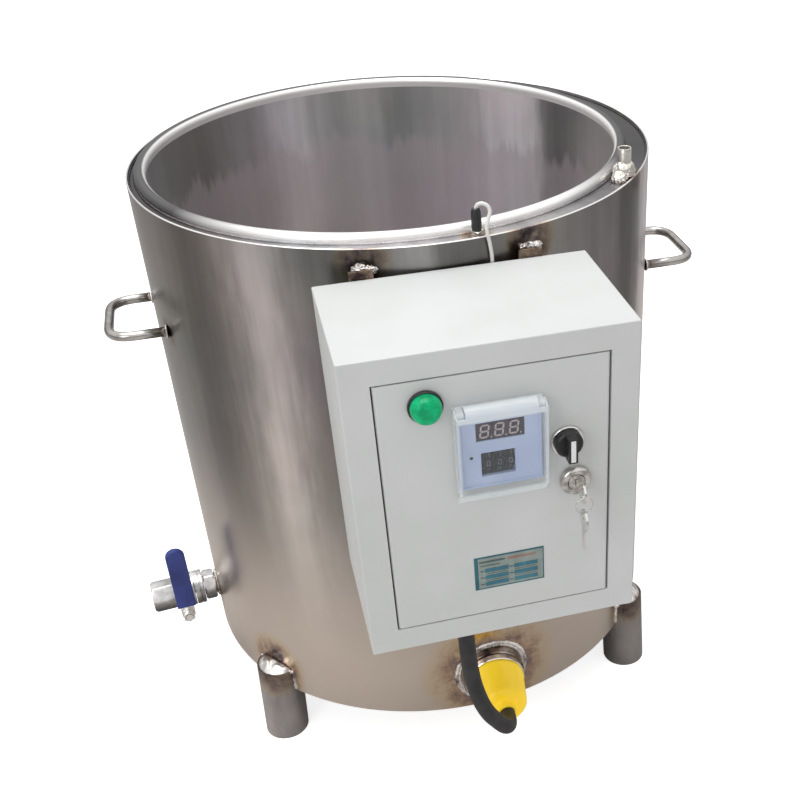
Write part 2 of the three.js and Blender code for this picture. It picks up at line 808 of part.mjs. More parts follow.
// A cable gland: thread through the sheet, nut inside, flange and dome below, seat for the cable
function gland({ threadRadius, hexSize, hexLength, domeLength, inside, cable }) {
  const thread = rod(threadRadius, -gap * 2, boxSheet + inside, smallFacets);
  const flange = hexBar(hexSize, -hexLength - gap, -gap);
  const nutLow = boxSheet + gap;
  const nut = hexBar(hexSize, nutLow, nutLow + hexLength);
  const wide = hexSize * half - shellWall * half;
  const low = -hexLength - domeLength;
  const dome = turned([
    [0, low], [cable + shellWall, low], [wide, low + domeLength * half], [wide, -hexLength], [0, -hexLength],
  ], smallFacets);
  const seat = rod(cable + gap, low - overrun, low + cableSeat, smallFacets);
  const wires = rod(cable * half, low, boxSheet + inside + overrun, smallFacets);
  return carve(fuse(thread, flange, nut, dome), seat, wires);
}

function cableGland() {
  const sizes = {
    threadRadius: glandThreadRadius,
    hexSize: glandHexSize,
    hexLength: glandHexLength,
    domeLength: glandDomeLength,
    inside: glandInside,
    cable: cableRadius,
  };
  return gland(sizes).translate([glandX, glandY, 0]);
}

function leadGland() {
  const sizes = {
    threadRadius: leadGlandRadius,
    hexSize: leadGlandHexSize,
    hexLength: leadGlandHexLength,
    domeLength: leadGlandDomeLength,
    inside: leadGlandInside,
    cable: leadRadius,
  };
  return gland(sizes).translate([leadGlandX, leadGlandY, 0]);
}

// Inside of the box: a plate on four spacers, with a rail, a contactor and terminals on it
const plateMargin = 25;
const plateThickness = 2;
const spacerLength = 6;
const spacerRadius = 5;
const spacerInset = 12;
const railWidth = 35;
const railDepth = 7.5;
const railSheet = 1;
const railLip = 5;
const railInset = 10;
const railLift = 4.1;
const contactorWidth = 45;
const contactorHeight = 74;
const contactorDepth = 68;
const contactorStep = 12;
const contactorX = -48;
const terminalWidth = 60;
const terminalHeight = 42;
const terminalDepth = 36;
const terminalX = 32;
const terminalPitch = 12;
const screwWell = 3;

const plateFront = boxDepth - boxSheet - spacerLength - plateThickness;
const railFront = plateFront - railDepth;
const plateSide = boxWidth * half - plateMargin;
// The rail hangs about midway between the nut of the cable gland and the controller's case
const railHeight = (boxSheet + glandInside + controlZ - caseSize * half) * half + railLift;

function mountingPlate() {
  const low = plateMargin;
  const high = boxHeight - plateMargin;
  const sheet = block([-plateSide, plateFront, low], [plateSide, plateFront + plateThickness, high]);
  const spacers = [];
  for (const x of [-plateSide + spacerInset, plateSide - spacerInset]) {
    for (const z of [low + spacerInset, high - spacerInset]) {
      const spacer = forward(rod(spacerRadius, 0, spacerLength + plateThickness * half, smallFacets));
      spacers.push(spacer.translate([x, boxDepth - boxSheet, z]));
    }
  }
  return fuse(sheet, ...spacers);
}

// The rail's section is a hat, its open side to the front
function dinRail() {
  const wide = railWidth * half;
  const crown = wide - railLip;
  const section = [
    [-crown, 0], [crown, 0], [crown, railDepth - railSheet], [wide, railDepth - railSheet], [wide, railDepth],
    [crown - railSheet, railDepth], [crown - railSheet, railSheet], [-crown + railSheet, railSheet],
    [-crown + railSheet, railDepth], [-wide, railDepth], [-wide, railDepth - railSheet],
    [-crown, railDepth - railSheet],
  ];
  const shape = new THREE.Shape(section.map(([across, out]) => new THREE.Vector2(across, out)));
  const end = plateSide - railInset;
  const bar = pulled(shape, -end, end).rotate([0, 90, 0]).rotate([180, 0, 0]);
  return bar.translate([0, plateFront + gap, railHeight]);
}

// Control gear on the plate
function contactor() {
  const side = contactorWidth * half;
  const tall = contactorHeight * half;
  const front = railFront - gap - contactorDepth;
  const back = railFront - gap;
  const body = block([contactorX - side, front + contactorStep, -tall], [contactorX + side, back, tall]);
  const nose = block([contactorX - side, front, -tall * half], [contactorX + side, back, tall * half]);
  const rows = wells(contactorX, side, tall - terminalPitch * half, front + contactorStep);
  return carve(fuse(body, nose), ...rows).translate([0, 0, railHeight]);
}

// Two rows of three screw wells, cut from the front
function wells(x, side, level, front) {
  const cutters = [];
  for (const across of [-side + terminalPitch * half, 0, side - terminalPitch * half]) {
    for (const z of [-level, level]) {
      const well = rod(screwWell, -overrun, screwWell, smallFacets).rotate([-90, 0, 0]);
      cutters.push(well.translate([x + across, front, z]));
    }
  }
  return cutters;
}

function terminalBlock() {
  const side = terminalWidth * half;
  const tall = terminalHeight * half;
  const front = railFront - gap - terminalDepth;
  const body = block([terminalX - side, front, -tall], [terminalX + side, railFront - gap, tall]);
  const slots = [];
  for (let x = -side + terminalPitch; x < side; x += terminalPitch) {
    slots.push(block([terminalX + x - gap, front - overrun, -tall - overrun],
      [terminalX + x + gap, front + screwWell, tall + overrun]));
  }
  const rows = wells(terminalX, side, tall - terminalPitch * half, front);
  return carve(body, ...slots, ...rows).translate([0, 0, railHeight]);
}

// Door: a folded tray hung on the left, with the cut-outs for the gear that it carries
const barrelRadius = 11;

function boxDoor() {
  const round = doorCorner;
  const tray = new THREE.Shape();
  tray.moveTo(-doorRight, doorFlange);
  tray.lineTo(-doorRight, round);
  tray.absarc(-doorRight + round, round, round, Math.PI, quarterTurn * 3);
  tray.lineTo(doorRight - round, 0);
  tray.absarc(doorRight - round, round, round, -quarterTurn, 0);
  tray.lineTo(doorRight, doorFlange);
  tray.closePath();
  const outside = pulled(tray, doorBottom, doorTop, cornerSteps);
  const inside = block([-doorRight + boxSheet, boxSheet, doorBottom + boxSheet],
    [doorRight - boxSheet, doorFlange + overrun, doorTop - boxSheet]);
  const pinHole = rod(pinRadius + gap, doorBottom - overrun, doorTop + overrun, smallFacets)
    .translate([pivotX, pivotInset, 0]);
  const side = caseSize * half + gap;
  const holes = [[lampX, lampZ], [selectorX, selectorZ], [lockX, lockZ]].map(([x, z]) => (
    forward(rod(barrelRadius + gap, -boxSheet - overrun, overrun)).translate([x, 0, z])));
  const window = block([controlX - side, -overrun, controlZ - side],
    [controlX + side, boxSheet + overrun, controlZ + side]);
  return carve(outside, inside, pinHole, window, ...holes);
}

// Pilot lamp: a rim with its barrel and nut, and a domed lens
const lampRimRadius = 14.7;
const lampRimLength = 4;
const lampBarrelLength = 38;
const gearNutRadius = 14;
const gearNutLength = 4;
const lensRadius = 13.2;
const lensLength = 15;
const lensStep = 2;
const lensSeat = 2;

// A round panel fitting: rim in front of the door, barrel through it and nut behind it
function panelFitting(rimRadius, rimLength, barrelLength) {
  const back = -boxSheet - gap;
  const nut = rod(gearNutRadius, back - gearNutLength, back, smallFacets * half);
  return turnedOnDoor([
    [0, -barrelLength], [barrelRadius, -barrelLength], [barrelRadius, gap], [rimRadius, gap],
    [rimRadius, rimLength - gap], [rimRadius - gap * 2, rimLength + gap], [0, rimLength + gap],
  ]).add(forward(nut));
}

// A turned form whose heights are distances in front of the door
const turnedOnDoor = (points, facets = roundFacets) => forward(turned(points, facets));

function lampHousing() {
  const seat = forward(rod(lensRadius + gap, lampRimLength + gap - lensSeat, lampRimLength + overrun));
  const fitting = panelFitting(lampRimRadius, lampRimLength, lampBarrelLength);
  return fitting.subtract(seat).translate([lampX, 0, lampZ]);
}

function lampLens() {
  const low = lampRimLength + gap * 2 - lensSeat;
  return turnedOnDoor([
    [0, low], [lensRadius, low], [lensRadius, lampRimLength + lensStep],
    [lensRadius - lensStep * half, lampRimLength + lensStep * 2],
    [lensRadius - lensStep, lensLength - lensStep * 2],
    [lensRadius - lensStep * 3, lensLength - lensStep * half],
    [lensRadius * half, lensLength], [0, lensLength],
  ]).translate([lampX, 0, lampZ]);
}

// Temperature controller: square case with a bezel, a display window and three thumbwheels
const bezelSize = 72;
const bezelDepth = 7;
const bezelEdge = 2;
const faceSize = 66.6;
const faceRecess = 1.2;
const caseDepth = 95;
const displayWidth = 41.5;
const displayHeight = 17.6;
const displayDepth = 1.6;
const displayDrop = 18.7;
const wheelShift = 2.6;
const wheelDrop = 13.3;
const wheelWindowWidth = 29.3;
const wheelWindowHeight = 23.2;
const wheelRadius = 13.4;
const wheelTooth = 0.9;
const wheelPitch = 9.6;
const wheelWidth = 9;
const wheelRim = 2.4;
const wheelProud = 0.7;
const wheelTeeth = 20;
const axleRadius = 2;
const roomSlack = 1.2;

const wheelX = controlX - wheelShift;
const wheelZ = controlZ - wheelDrop;
const faceY = -bezelDepth + faceRecess;
const axleY = faceY - wheelProud + wheelRadius + wheelTooth;

function controllerCase() {
  const bezelHalf = bezelSize * half;
  const caseHalf = caseSize * half;
  const faceHalf = faceSize * half;
  const front = block([-bezelHalf, -bezelDepth + bezelEdge, -bezelHalf], [bezelHalf, -gap, bezelHalf]);
  const inner = bezelHalf - bezelEdge * half;
  const edge = block([-inner, -bezelDepth, -inner], [inner, -gap, inner]);
  const body = block([-caseHalf, -gap * 2, -caseHalf], [caseHalf, caseDepth, caseHalf]);
  const face = block([-faceHalf, -bezelDepth - overrun, -faceHalf], [faceHalf, faceY, faceHalf]);
  const display = block([-displayWidth * half, faceY - overrun, displayDrop - displayHeight * half],
    [displayWidth * half, faceY + displayDepth, displayDrop + displayHeight * half]);
  const shape = carve(fuse(front, edge, body), face, display).translate([controlX, 0, controlZ]);
  const wide = wheelWindowWidth * half;
  const tall = wheelWindowHeight * half;
  const opening = block([wheelX - wide, faceY - overrun, wheelZ - tall],
    [wheelX + wide, axleY, wheelZ + tall]);
  const roomRadius = wheelRadius + wheelTooth + roomSlack;
  const roomTube = alongX(rod(roomRadius, wheelX - wide, wheelX + wide));
  const roomKeep = block([wheelX - wide, faceY + displayDepth, wheelZ - roomRadius],
    [wheelX + wide, axleY + roomRadius, wheelZ + roomRadius]);
  const axle = alongX(rod(axleRadius, wheelX - wide - gap, wheelX + wide + gap, smallFacets));
  return fuse(carve(shape, opening, roomTube.intersect(roomKeep)), axle);
}

// An upright form laid along X on the thumbwheels' axle
const alongX = (solid) => solid.rotate([0, 90, 0]).translate([0, axleY, wheelZ]);

function thumbwheel(place) {
  const middle = wheelX + place * wheelPitch;
  const low = middle - wheelWidth * half;
  const teeth = [];
  for (let k = 0; k < wheelTeeth * 2; k += 1) {
    const radius = k % 2 === 0 ? wheelRadius + wheelTooth : wheelRadius;
    const angle = fullTurn * k / (wheelTeeth * 2);
    teeth.push(new THREE.Vector2(radius * Math.cos(angle), radius * Math.sin(angle)));
  }
  const rim = pulled(new THREE.Shape(teeth), low, low + wheelRim);
  const drum = rod(wheelRadius - wheelTooth, low, low + wheelWidth, wheelTeeth);
  const bore = rod(axleRadius + gap, low - overrun, low + wheelWidth + overrun, smallFacets);
  return alongX(carve(fuse(rim, drum), bore));
}

// Clear splash cover of the controller: a fixed frame with two ears, and a lid that lifts
const coverWall = 1.5;
const coverFrameDepth = 1.6;
const coverFrameSide = 2.4;
const hingeY = -10;
const hingeRise = 39.7;
const earRadius = 3.8;
const earInner = 31;
const hoodRadius = 7.5;
const hoodHalf = 30.4;
const coverFront = -14.5;
const coverBendDrop = 35.8;
const coverFootDrop = 49.3;
const coverFootY = -4;
const coverRest = 2.2;
const studRadius = 1.4;
const hoodEnd = THREE.MathUtils.degToRad(76);

const hingeZ = controlZ + hingeRise;
const coverBend = controlZ - coverBendDrop;
const coverFoot = controlZ - coverFootDrop;

function coverFrame() {
  const inner = bezelSize * half + gap;
  const outer = inner + coverFrameSide;
  const low = controlZ - outer;
  const high = hingeZ + earRadius;
  const plate = block([controlX - outer, -gap - coverFrameDepth, low], [controlX + outer, -gap, high]);
  const opening = block([controlX - inner, -overrun - coverFrameDepth, controlZ - inner],
    [controlX + inner, overrun, controlZ + inner]);
  const ears = [-1, 1].map((side) => {
    const near = controlX + side * earInner;
    const far = controlX + side * (coverWidth * half - coverWall - gap);
    const [left, right] = [Math.min(near, far), Math.max(near, far)];
    const arm = block([left, hingeY, hingeZ - earRadius + gap],
      [right, -gap - coverFrameDepth * half, hingeZ + earRadius]);
    const eye = rod(earRadius, left, right, smallFacets).rotate([0, 90, 0]);
    const tip = side * (coverWidth * half);
    const stud = rod(studRadius, Math.min(side * earInner, tip), Math.max(side * earInner, tip), smallFacets)
      .rotate([0, 90, 0]);
    return fuse(arm, eye.translate([0, hingeY, hingeZ]), stud.translate([controlX, hingeY, hingeZ]));
  });
  return fuse(carve(plate, opening), ...ears);
}

// The lid is drawn from the side, as distances behind the door's face and heights
function sideShape(points) {
  return new THREE.Shape(points.map(([y, z]) => new THREE.Vector2(y, z)));
}

// A side outline given width along X
const acrossX = (shape, low, high) => pulled(shape, low, high).rotate([90, 0, 90]);

function controllerCover() {
  const wide = coverWidth * half;
  const front = hingeY - hoodRadius;
  const skin = acrossX(sideShape([
    [front, hingeZ], [coverFront, coverBend], [coverFootY, coverFoot],
    [coverFootY, coverFoot + coverWall * 2],
    [coverFront + coverWall, coverBend + coverWall * half], [front + coverWall, hingeZ],
  ]), controlX - wide, controlX + wide);
  const wallOutline = sideShape([
    [front + coverWall * half, hingeZ], [coverFront + coverWall * half, coverBend], [-coverRest, coverBend],
    [-coverRest, hingeZ - hoodRadius], [hingeY + earRadius, hingeZ + earRadius], [hingeY, hingeZ + earRadius],
  ]);
  const walls = [
    acrossX(wallOutline, controlX - wide, controlX - wide + coverWall),
    acrossX(wallOutline, controlX + wide - coverWall, controlX + wide),
  ];
  const hoodSteps = 6;
  const hoodPoints = [
    ...arcPoints(hingeY, hingeZ, hoodRadius, Math.PI, hoodEnd, hoodSteps),
    ...arcPoints(hingeY, hingeZ, hoodRadius - coverWall, hoodEnd, Math.PI, hoodSteps),
  ];
  const hood = acrossX(sideShape(hoodPoints), controlX - hoodHalf, controlX + hoodHalf);
  const studHole = rod(studRadius + gap, controlX - wide - overrun, controlX + wide + overrun, smallFacets)
    .rotate([0, 90, 0]).translate([0, hingeY, hingeZ]);
  return carve(fuse(skin, ...walls, hood), studHole);
}

// Selector switch: fitting with its contact block, and a knob with a raised grip
const selectorRimRadius = 14.8;
const selectorRimLength = 3.5;
const selectorBarrelLength = 24;
const contactBlockSize = 30;
const contactBlockLength = 26;
const knobRadius = 12.4;
const knobBase = 10;
const knobEdge = 1.5;
const knobReach = 20;
const knobGripWidth = 8;
const knobGripLength = 24;
const spindleRadius = 4;
const spindleLength = 12;

function selectorHousing() {
  const side = contactBlockSize * half;
  const contacts = block([-side, selectorBarrelLength - gap, -side],
    [side, selectorBarrelLength + contactBlockLength, side]);
  const hole = forward(rod(spindleRadius + gap, -spindleLength, selectorRimLength + overrun, smallFacets));
  return carve(fuse(panelFitting(selectorRimRadius, selectorRimLength, selectorBarrelLength), contacts), hole)
    .translate([selectorX, 0, selectorZ]);
}

function selectorKnob() {
  const low = selectorRimLength + gap * 2;
  const disc = turnedOnDoor([
    [0, low], [knobRadius, low], [knobRadius, knobBase - knobEdge], [knobRadius - knobEdge, knobBase],
    [0, knobBase],
  ]);
  const wide = knobGripWidth * half;
  const tall = knobGripLength * half;
  const grip = block([-wide, -knobReach, -tall], [wide, -knobBase + gap, tall]);
  const spindle = forward(rod(spindleRadius, gap - spindleLength, low + gap, smallFacets));
  return fuse(disc, grip.intersect(forward(rod(knobRadius, knobBase - gap * 2, knobReach))), spindle)
    .translate([selectorX, 0, selectorZ]);
}

// Door lock: barrel with its flange, turning plug, cam behind the door, and a key in the plug
const lockFlangeRadius = 14;
const lockFlangeLength = 7;
const lockBevel = 2.5;
const lockBarrelDepth = 14;
const plugBore = 7.5;
const plugShoulder = 5;
const camSeat = 3;
const camThickness = 2;
const camWidth = 14;
const camLength = 42;
const camScrewRadius = 4.5;
const camScrewLength = 3;
const keyThickness = 2;
const keyBladeWidth = 7;
const keyBladeLength = 14;
const keyShoulder = 6;
const keyBowRadius = 10;
const keyHoleRadius = 3.4;
const keyHoleInset = 5;
const ringRadius = 8;
const ringWire = 0.8;
const ringSegments = 20;

const lockBack = lockBarrelDepth + plugShoulder;
const camStart = lockBarrelDepth + gap;
const keyHoleY = -(lockFlangeLength + keyShoulder + keyBowRadius * 2 - keyHoleInset);
const ringZ = lockZ - keyHoleRadius + ringWire + gap - ringRadius;

function lockBarrel() {
  const fitting = turnedOnDoor([
    [0, -lockBarrelDepth], [barrelRadius, -lockBarrelDepth], [barrelRadius, gap], [lockFlangeRadius, gap],
    [lockFlangeRadius, lockFlangeLength - lockBevel], [lockFlangeRadius - lockBevel, lockFlangeLength],
    [0, lockFlangeLength],
  ]);
  const back = -boxSheet - gap;
  const nut = forward(rod(gearNutRadius, back - gearNutLength, back, smallFacets * half));
  const bore = forward(rod(plugBore + gap, -lockBarrelDepth - overrun, lockFlangeLength + overrun));
  return carve(fuse(fitting, nut), bore).translate([lockX, 0, lockZ]);
}

function lockPlug() {
  const plug = turnedOnDoor([
    [0, -lockBack], [camSeat, -lockBack], [camSeat, -camStart], [plugBore, -camStart],
    [plugBore, lockFlangeLength - gap], [0, lockFlangeLength - gap],
  ]);
  const wide = keyThickness * half + gap;
  const tall = keyBladeWidth * half + gap;
  const slot = block([-wide, -lockFlangeLength - overrun, -tall],
    [wide, keyBladeLength - lockFlangeLength + gap * 2, tall]);
  return plug.subtract(slot).translate([lockX, 0, lockZ]);
}

// The cam hangs down while the door is unlocked
function lockCam() {
  const shape = new THREE.Shape().absarc(0, 0, camWidth * half, 0, Math.PI);
  shape.lineTo(-camWidth * half, -camLength);
  shape.lineTo(camWidth * half, -camLength);
  shape.closePath();
  const camBack = camStart + gap + camThickness;
  const plate = pulled(shape, 0, camThickness).rotate([90, 0, 0]).translate([0, camBack, 0]);
  const screwStart = camBack - gap;
  const head = forward(rod(camScrewRadius, -screwStart - camScrewLength, -screwStart, smallFacets));
  const hole = forward(rod(camSeat + gap, -lockBack - gap, 0, smallFacets));
  return carve(fuse(plate, head), hole).translate([lockX, 0, lockZ]);
}

// A key drawn flat: blade towards +X, bow behind it with its hole at the far end
function keyOutline() {
  const wide = keyBladeWidth * half;
  const bowX = -keyShoulder - keyBowRadius;
  const open = Math.asin(wide / keyBowRadius);
  const shape = new THREE.Shape();
  shape.moveTo(keyBladeLength, wide * half);
  shape.lineTo(keyBladeLength - wide, wide);
  shape.lineTo(bowX + keyBowRadius * Math.cos(open), wide);
  shape.absarc(bowX, 0, keyBowRadius, open, fullTurn - open);
  shape.lineTo(keyBladeLength, -wide);
  shape.closePath();
  const holeX = bowX - keyBowRadius + keyHoleInset;
  shape.holes.push(new THREE.Path().absarc(holeX, 0, keyHoleRadius, 0, fullTurn, true));
  return pulled(shape, -keyThickness * half, keyThickness * half, ringSegments * half);
}

function keyInLock() {
  return keyOutline().rotate([90, 0, 90]).translate([lockX, -lockFlangeLength, lockZ]);
}

function keyRing() {
  const ring = toSolid(new THREE.TorusGeometry(ringRadius, ringWire, smallFacets * half, ringSegments));
  return ring.rotate([90, 0, 0]).translate([lockX, keyHoleY, ringZ]);
}

function spareKey() {
  const holeX = -keyShoulder - keyBowRadius * 2 + keyHoleInset;
  const wireLow = ringZ - ringRadius;
  const drop = keyHoleRadius - ringWire - gap;
  return keyOutline().translate([-holeX, 0, 0]).rotate([0, 90, 0])
    .translate([lockX, keyHoleY, wireLow - drop]);
}

const box = new THREE.Group();
box.position.set(boxShiftX, boxFront, boxBottom);
machine.add(box);

box.add(
  piece('box_body', boxBody(), paint()),
  piece('hinge_pin_upper', hingePin(openingTop), polished()),
  piece('hinge_pin_lower', hingePin(frameBottom), polished()),
  piece('cable_gland', cableGland(), blackPlastic()),
  piece('lead_gland', leadGland(), blackPlastic()),
  piece('mounting_plate', fuse(mountingPlate(), dinRail()), finish(0xb9bcbc, 0.5, 0.6)),
  piece('contactor', contactor(), finish(0x3a3d40, 0.6, 0)),
  piece('terminal_block', terminalBlock(), finish(0x9aa09c, 0.6, 0)),
  piece('box_door', boxDoor(), paint()),
  piece('lamp_housing', lampHousing(), blackPlastic()),
  piece('lamp_lens', lampLens(), finish(0x00a76a, 0.25, 0)),
  piece('controller_case', controllerCase(), finish(0xaab6d4, 0.45, 0)),
  piece('thumbwheel_hundreds', thumbwheel(-1), blackPlastic()),
  piece('thumbwheel_tens', thumbwheel(0), blackPlastic()),
  piece('thumbwheel_units', thumbwheel(1), blackPlastic()),
  piece('cover_frame', coverFrame(), clearPlastic()),
  piece('controller_cover', controllerCover(), clearPlastic()),
  piece('selector_housing', selectorHousing(), finish(0xb9bdc0, 0.35, 0.7)),
  piece('selector_knob', selectorKnob(), blackPlastic()),
  piece('lock_barrel', lockBarrel(), polished()),
  piece('lock_plug', lockPlug(), polished()),
  piece('lock_cam', lockCam(), dullSteel()),
  piece('key', keyInLock(), polished()),
  piece('key_ring', keyRing(), polished()),
  piece('spare_key', spareKey(), polished()),
);

// Cords: the heater's cable from the box to the heater cap, and the probe's lead, which curls
// out of its sleeve, runs down behind the box and turns up into the gland under it. The points
// are millimetres from the vessel's axis and the floor.
const cableSides = 10;
const cableSteps = 32;
const cablePoints = [
  [-21, -355, 300.6], [-21, -355, 290], [-21, -355, 278], [-21.3, -356.5, 265], [-21.8, -360, 250],
  [-22, -364.5, 235], [-21.6, -369, 219], [-20, -373, 203], [-17, -376.6, 188], [-12.6, -379.4, 173],
  [-6.6, -380.9, 160], [0.92, -381, 148.5], [8.2, -378.3, 136.8], [14.4, -370.5, 126.9],
  [18.5, -358.8, 120.3], [20, -345, 118], [20, -339.9, 118],
];
const leadSides = 8;
const leadSteps = 62;
const leadPoints = [
  [32, -262.5, 659.6], [32, -262.5, 665], [33.6, -263.9, 670], [37.4, -267.2, 672.2],
  [41.2, -270.5, 670], [42.8, -272, 664], [42.6, -273.4, 653], [42, -274.8, 640], [42, -275, 620],
  [42, -275, 560], [42, -275, 500], [42, -275, 440], [42, -275, 380], [42, -275, 330],
  [42, -275, 305], [42, -275, 292], [42, -278.7, 283.2], [42, -287.5, 279.5], [42, -296.3, 283.2],
  [42, -300, 292], [42, -300, 300], [42, -300, 308.4],
];

function cord(points, radius, sides, steps) {
  const curve = new THREE.CatmullRomCurve3(points.map((point) => new THREE.Vector3(...point)));
  return swept(curve, radius, 0, sides, steps);
}

machine.add(
  piece('heater_cable', cord(cablePoints, cableRadius, cableSides, cableSteps), finish(0x2b2b2d, 0.55, 0)),
  piece('probe_lead', cord(leadPoints, leadRadius, leadSides, leadSteps), finish(0xe9e8e4, 0.5, 0)),
);

// The origin is the middle of the bounding box at floor level
const bounds = new THREE.Box3().setFromObject(machine);
const middle = bounds.getCenter(new THREE.Vector3());
machine.position.set(-middle.x, -middle.y, -bounds.min.z);

export default machine;
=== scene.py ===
import math

import bmesh
import bpy
from mathutils import Matrix, Vector
from mathutils.noise import noise as noise_of


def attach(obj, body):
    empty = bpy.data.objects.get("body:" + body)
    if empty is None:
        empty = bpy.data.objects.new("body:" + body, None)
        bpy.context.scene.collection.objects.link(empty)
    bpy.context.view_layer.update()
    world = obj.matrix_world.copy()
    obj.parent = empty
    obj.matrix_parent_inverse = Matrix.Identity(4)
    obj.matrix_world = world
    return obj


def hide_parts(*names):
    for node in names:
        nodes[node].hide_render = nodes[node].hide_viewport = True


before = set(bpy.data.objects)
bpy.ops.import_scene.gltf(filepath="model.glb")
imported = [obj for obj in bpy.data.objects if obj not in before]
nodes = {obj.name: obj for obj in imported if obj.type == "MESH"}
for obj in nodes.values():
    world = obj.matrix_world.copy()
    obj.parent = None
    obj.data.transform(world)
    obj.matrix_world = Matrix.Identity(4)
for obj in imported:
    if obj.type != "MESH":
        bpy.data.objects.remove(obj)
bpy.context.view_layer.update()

# Camera of the photograph. It stands a little left of the front and looks down at the rim.
# The picture is cropped off its optical centre, which the lens shift gives back.
camera_place = Vector((-0.15931, -1.11697, 1.03594))
camera_yaw, camera_pitch, camera_roll = -0.2562676, 0.6052918, -0.0281931
optical_centre = (530, 485)
picture = 800
focal_pixels = 1143.557

look = Vector((-math.sin(camera_yaw) * math.cos(camera_pitch),
               math.cos(camera_yaw) * math.cos(camera_pitch), -math.sin(camera_pitch)))
level = Vector((math.cos(camera_yaw), math.sin(camera_yaw), 0))
lift = level.cross(look)
right = level * math.cos(camera_roll) + lift * math.sin(camera_roll)
up = lift * math.cos(camera_roll) - level * math.sin(camera_roll)
camera_data = bpy.data.cameras.new("camera")
camera_data.sensor_fit = "HORIZONTAL"
camera_data.sensor_width = 36
camera_data.lens = focal_pixels / picture * camera_data.sensor_width
camera_data.shift_x = (picture / 2 - optical_centre[0]) / picture
camera_data.shift_y = (optical_centre[1] - picture / 2) / picture
camera = bpy.data.objects.new("camera", camera_data)
camera.matrix_world = Matrix((
    (right.x, up.x, -look.x, camera_place.x),
    (right.y, up.y, -look.y, camera_place.y),
    (right.z, up.z, -look.z, camera_place.z),
    (0, 0, 0, 1)))
bpy.context.scene.collection.objects.link(camera)
bpy.context.scene.camera = camera

# Heater cable: a 17 mm rubber-sheathed cable, 221 mm of it from the gland under the box to the
# yellow cap, shown end to end in the photograph.
axis = Vector((0.0150486, 0.0954752, 0))
mm = 0.001
cable_diameter = 17 * mm
cable_points = [
    (-21, -355, 300.6), (-21, -355, 290), (-21, -355, 278), (-21.3, -356.5, 265), (-21.8, -360, 250),
    (-22, -364.5, 235), (-21.6, -369, 219), (-20, -373, 203), (-17, -376.6, 188), (-12.6, -379.4, 173),
    (-6.6, -380.9, 160), (0.92, -381, 148.5), (8.2, -378.3, 136.8), (14.4, -370.5, 126.9),
    (18.5, -358.8, 120.3), (20, -345, 118), (20, -339.9, 118)]
route_steps = 8


def from_axis(x, y, z):
    """A place given in millimetres from the vessel's axis and the floor."""
    return axis + Vector((x, y, z)) * mm


def linked(name, data):
    """An object at the origin that shows a mesh."""
    piece = bpy.data.objects.new(name, data)
    bpy.context.scene.collection.objects.link(piece)
    return piece


def made_piece(name, mesh, material, crease=None):
    """An object of one material from a finished bmesh, sharp where it bends by more than crease."""
    data = bpy.data.meshes.new(name)
    mesh.to_mesh(data)
    mesh.free()
    if crease:
        data.set_sharp_from_angle(angle=math.radians(crease))
    data.materials.append(material)
    return linked(name, data)


def stand_for(piece, body, slot, *replaced):
    """The piece moves with its body and stands for the solids named."""
    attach(piece, body)
    if replaced:
        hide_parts(*replaced)
    return piece


def eased_route(points):
    """A smooth curve through the points, knots spaced by the square root of their distance."""
    route = []
    ends = [points[0] * 2 - points[1], *points, points[-1] * 2 - points[-2]]
    for p0, p1, p2, p3 in zip(ends, ends[1:], ends[2:], ends[3:]):
        d0, d1, d2 = ((b - a).length ** 0.5 for a, b in ((p0, p1), (p1, p2), (p2, p3)))
        m1 = ((p1 - p0) / d0 - (p2 - p0) / (d0 + d1) + (p2 - p1) / d1) * d1
        m2 = ((p2 - p1) / d1 - (p3 - p1) / (d1 + d2) + (p3 - p2) / d2) * d1
        for t in (k / route_steps for k in range(route_steps)):
            route.append(p1 * (2 * t ** 3 - 3 * t ** 2 + 1) + m1 * (t ** 3 - 2 * t ** 2 + t)
                         + p2 * (3 * t ** 2 - 2 * t ** 3) + m2 * (t ** 3 - t ** 2))
    return route + [points[-1]]


def tube_along(name, route, radius, sides, material):
    """A closed round bar along a route, with UV running round it and along it in bar widths."""
    mesh = bmesh.new()
    uv = mesh.loops.layers.uv.new("along")
    tangents = [(b - a).normalized() for a, b in zip([route[0], *route[:-1]], [*route[1:], route[-1]])]
    side = tangents[0].orthogonal().normalized()
    rings, travelled = [], [0.0]
    for k, (place, tangent) in enumerate(zip(route, tangents)):
        side = (side - tangent * side.dot(tangent)).normalized()
        across = tangent.cross(side)
        rings.append([mesh.verts.new(place + (side * math.cos(a) + across * math.sin(a)) * radius)
                      for a in (2 * math.pi * j / sides for j in range(sides))])
        if k:
            travelled.append(travelled[-1] + (place - route[k - 1]).length)
    for k in range(len(route) - 1):
        for j in range(sides):
            n = (j + 1) % sides
            face = mesh.faces.new((rings[k][j], rings[k][n], rings[k + 1][n], rings[k + 1][j]))
            face.smooth = True
            for loop, (u, v) in zip(face.loops, ((j, k), (j + 1, k), (j + 1, k + 1), (j, k + 1))):
                loop[uv].uv = (u / sides, travelled[v] / (2 * radius))
    mesh.faces.new(list(reversed(rings[0])))
    mesh.faces.new(rings[-1])
    return made_piece(name, mesh, material)


def hung_cord(name, node_name, slot, points, diameter, sides, material):
    """A cord on the vessel, along places listed, for the plain tube of the CAD."""
    route = eased_route([from_axis(*p) for p in points])
    cord = stand_for(tube_along(name, route, diameter / 2, sides, material), "vessel", slot, node_name)


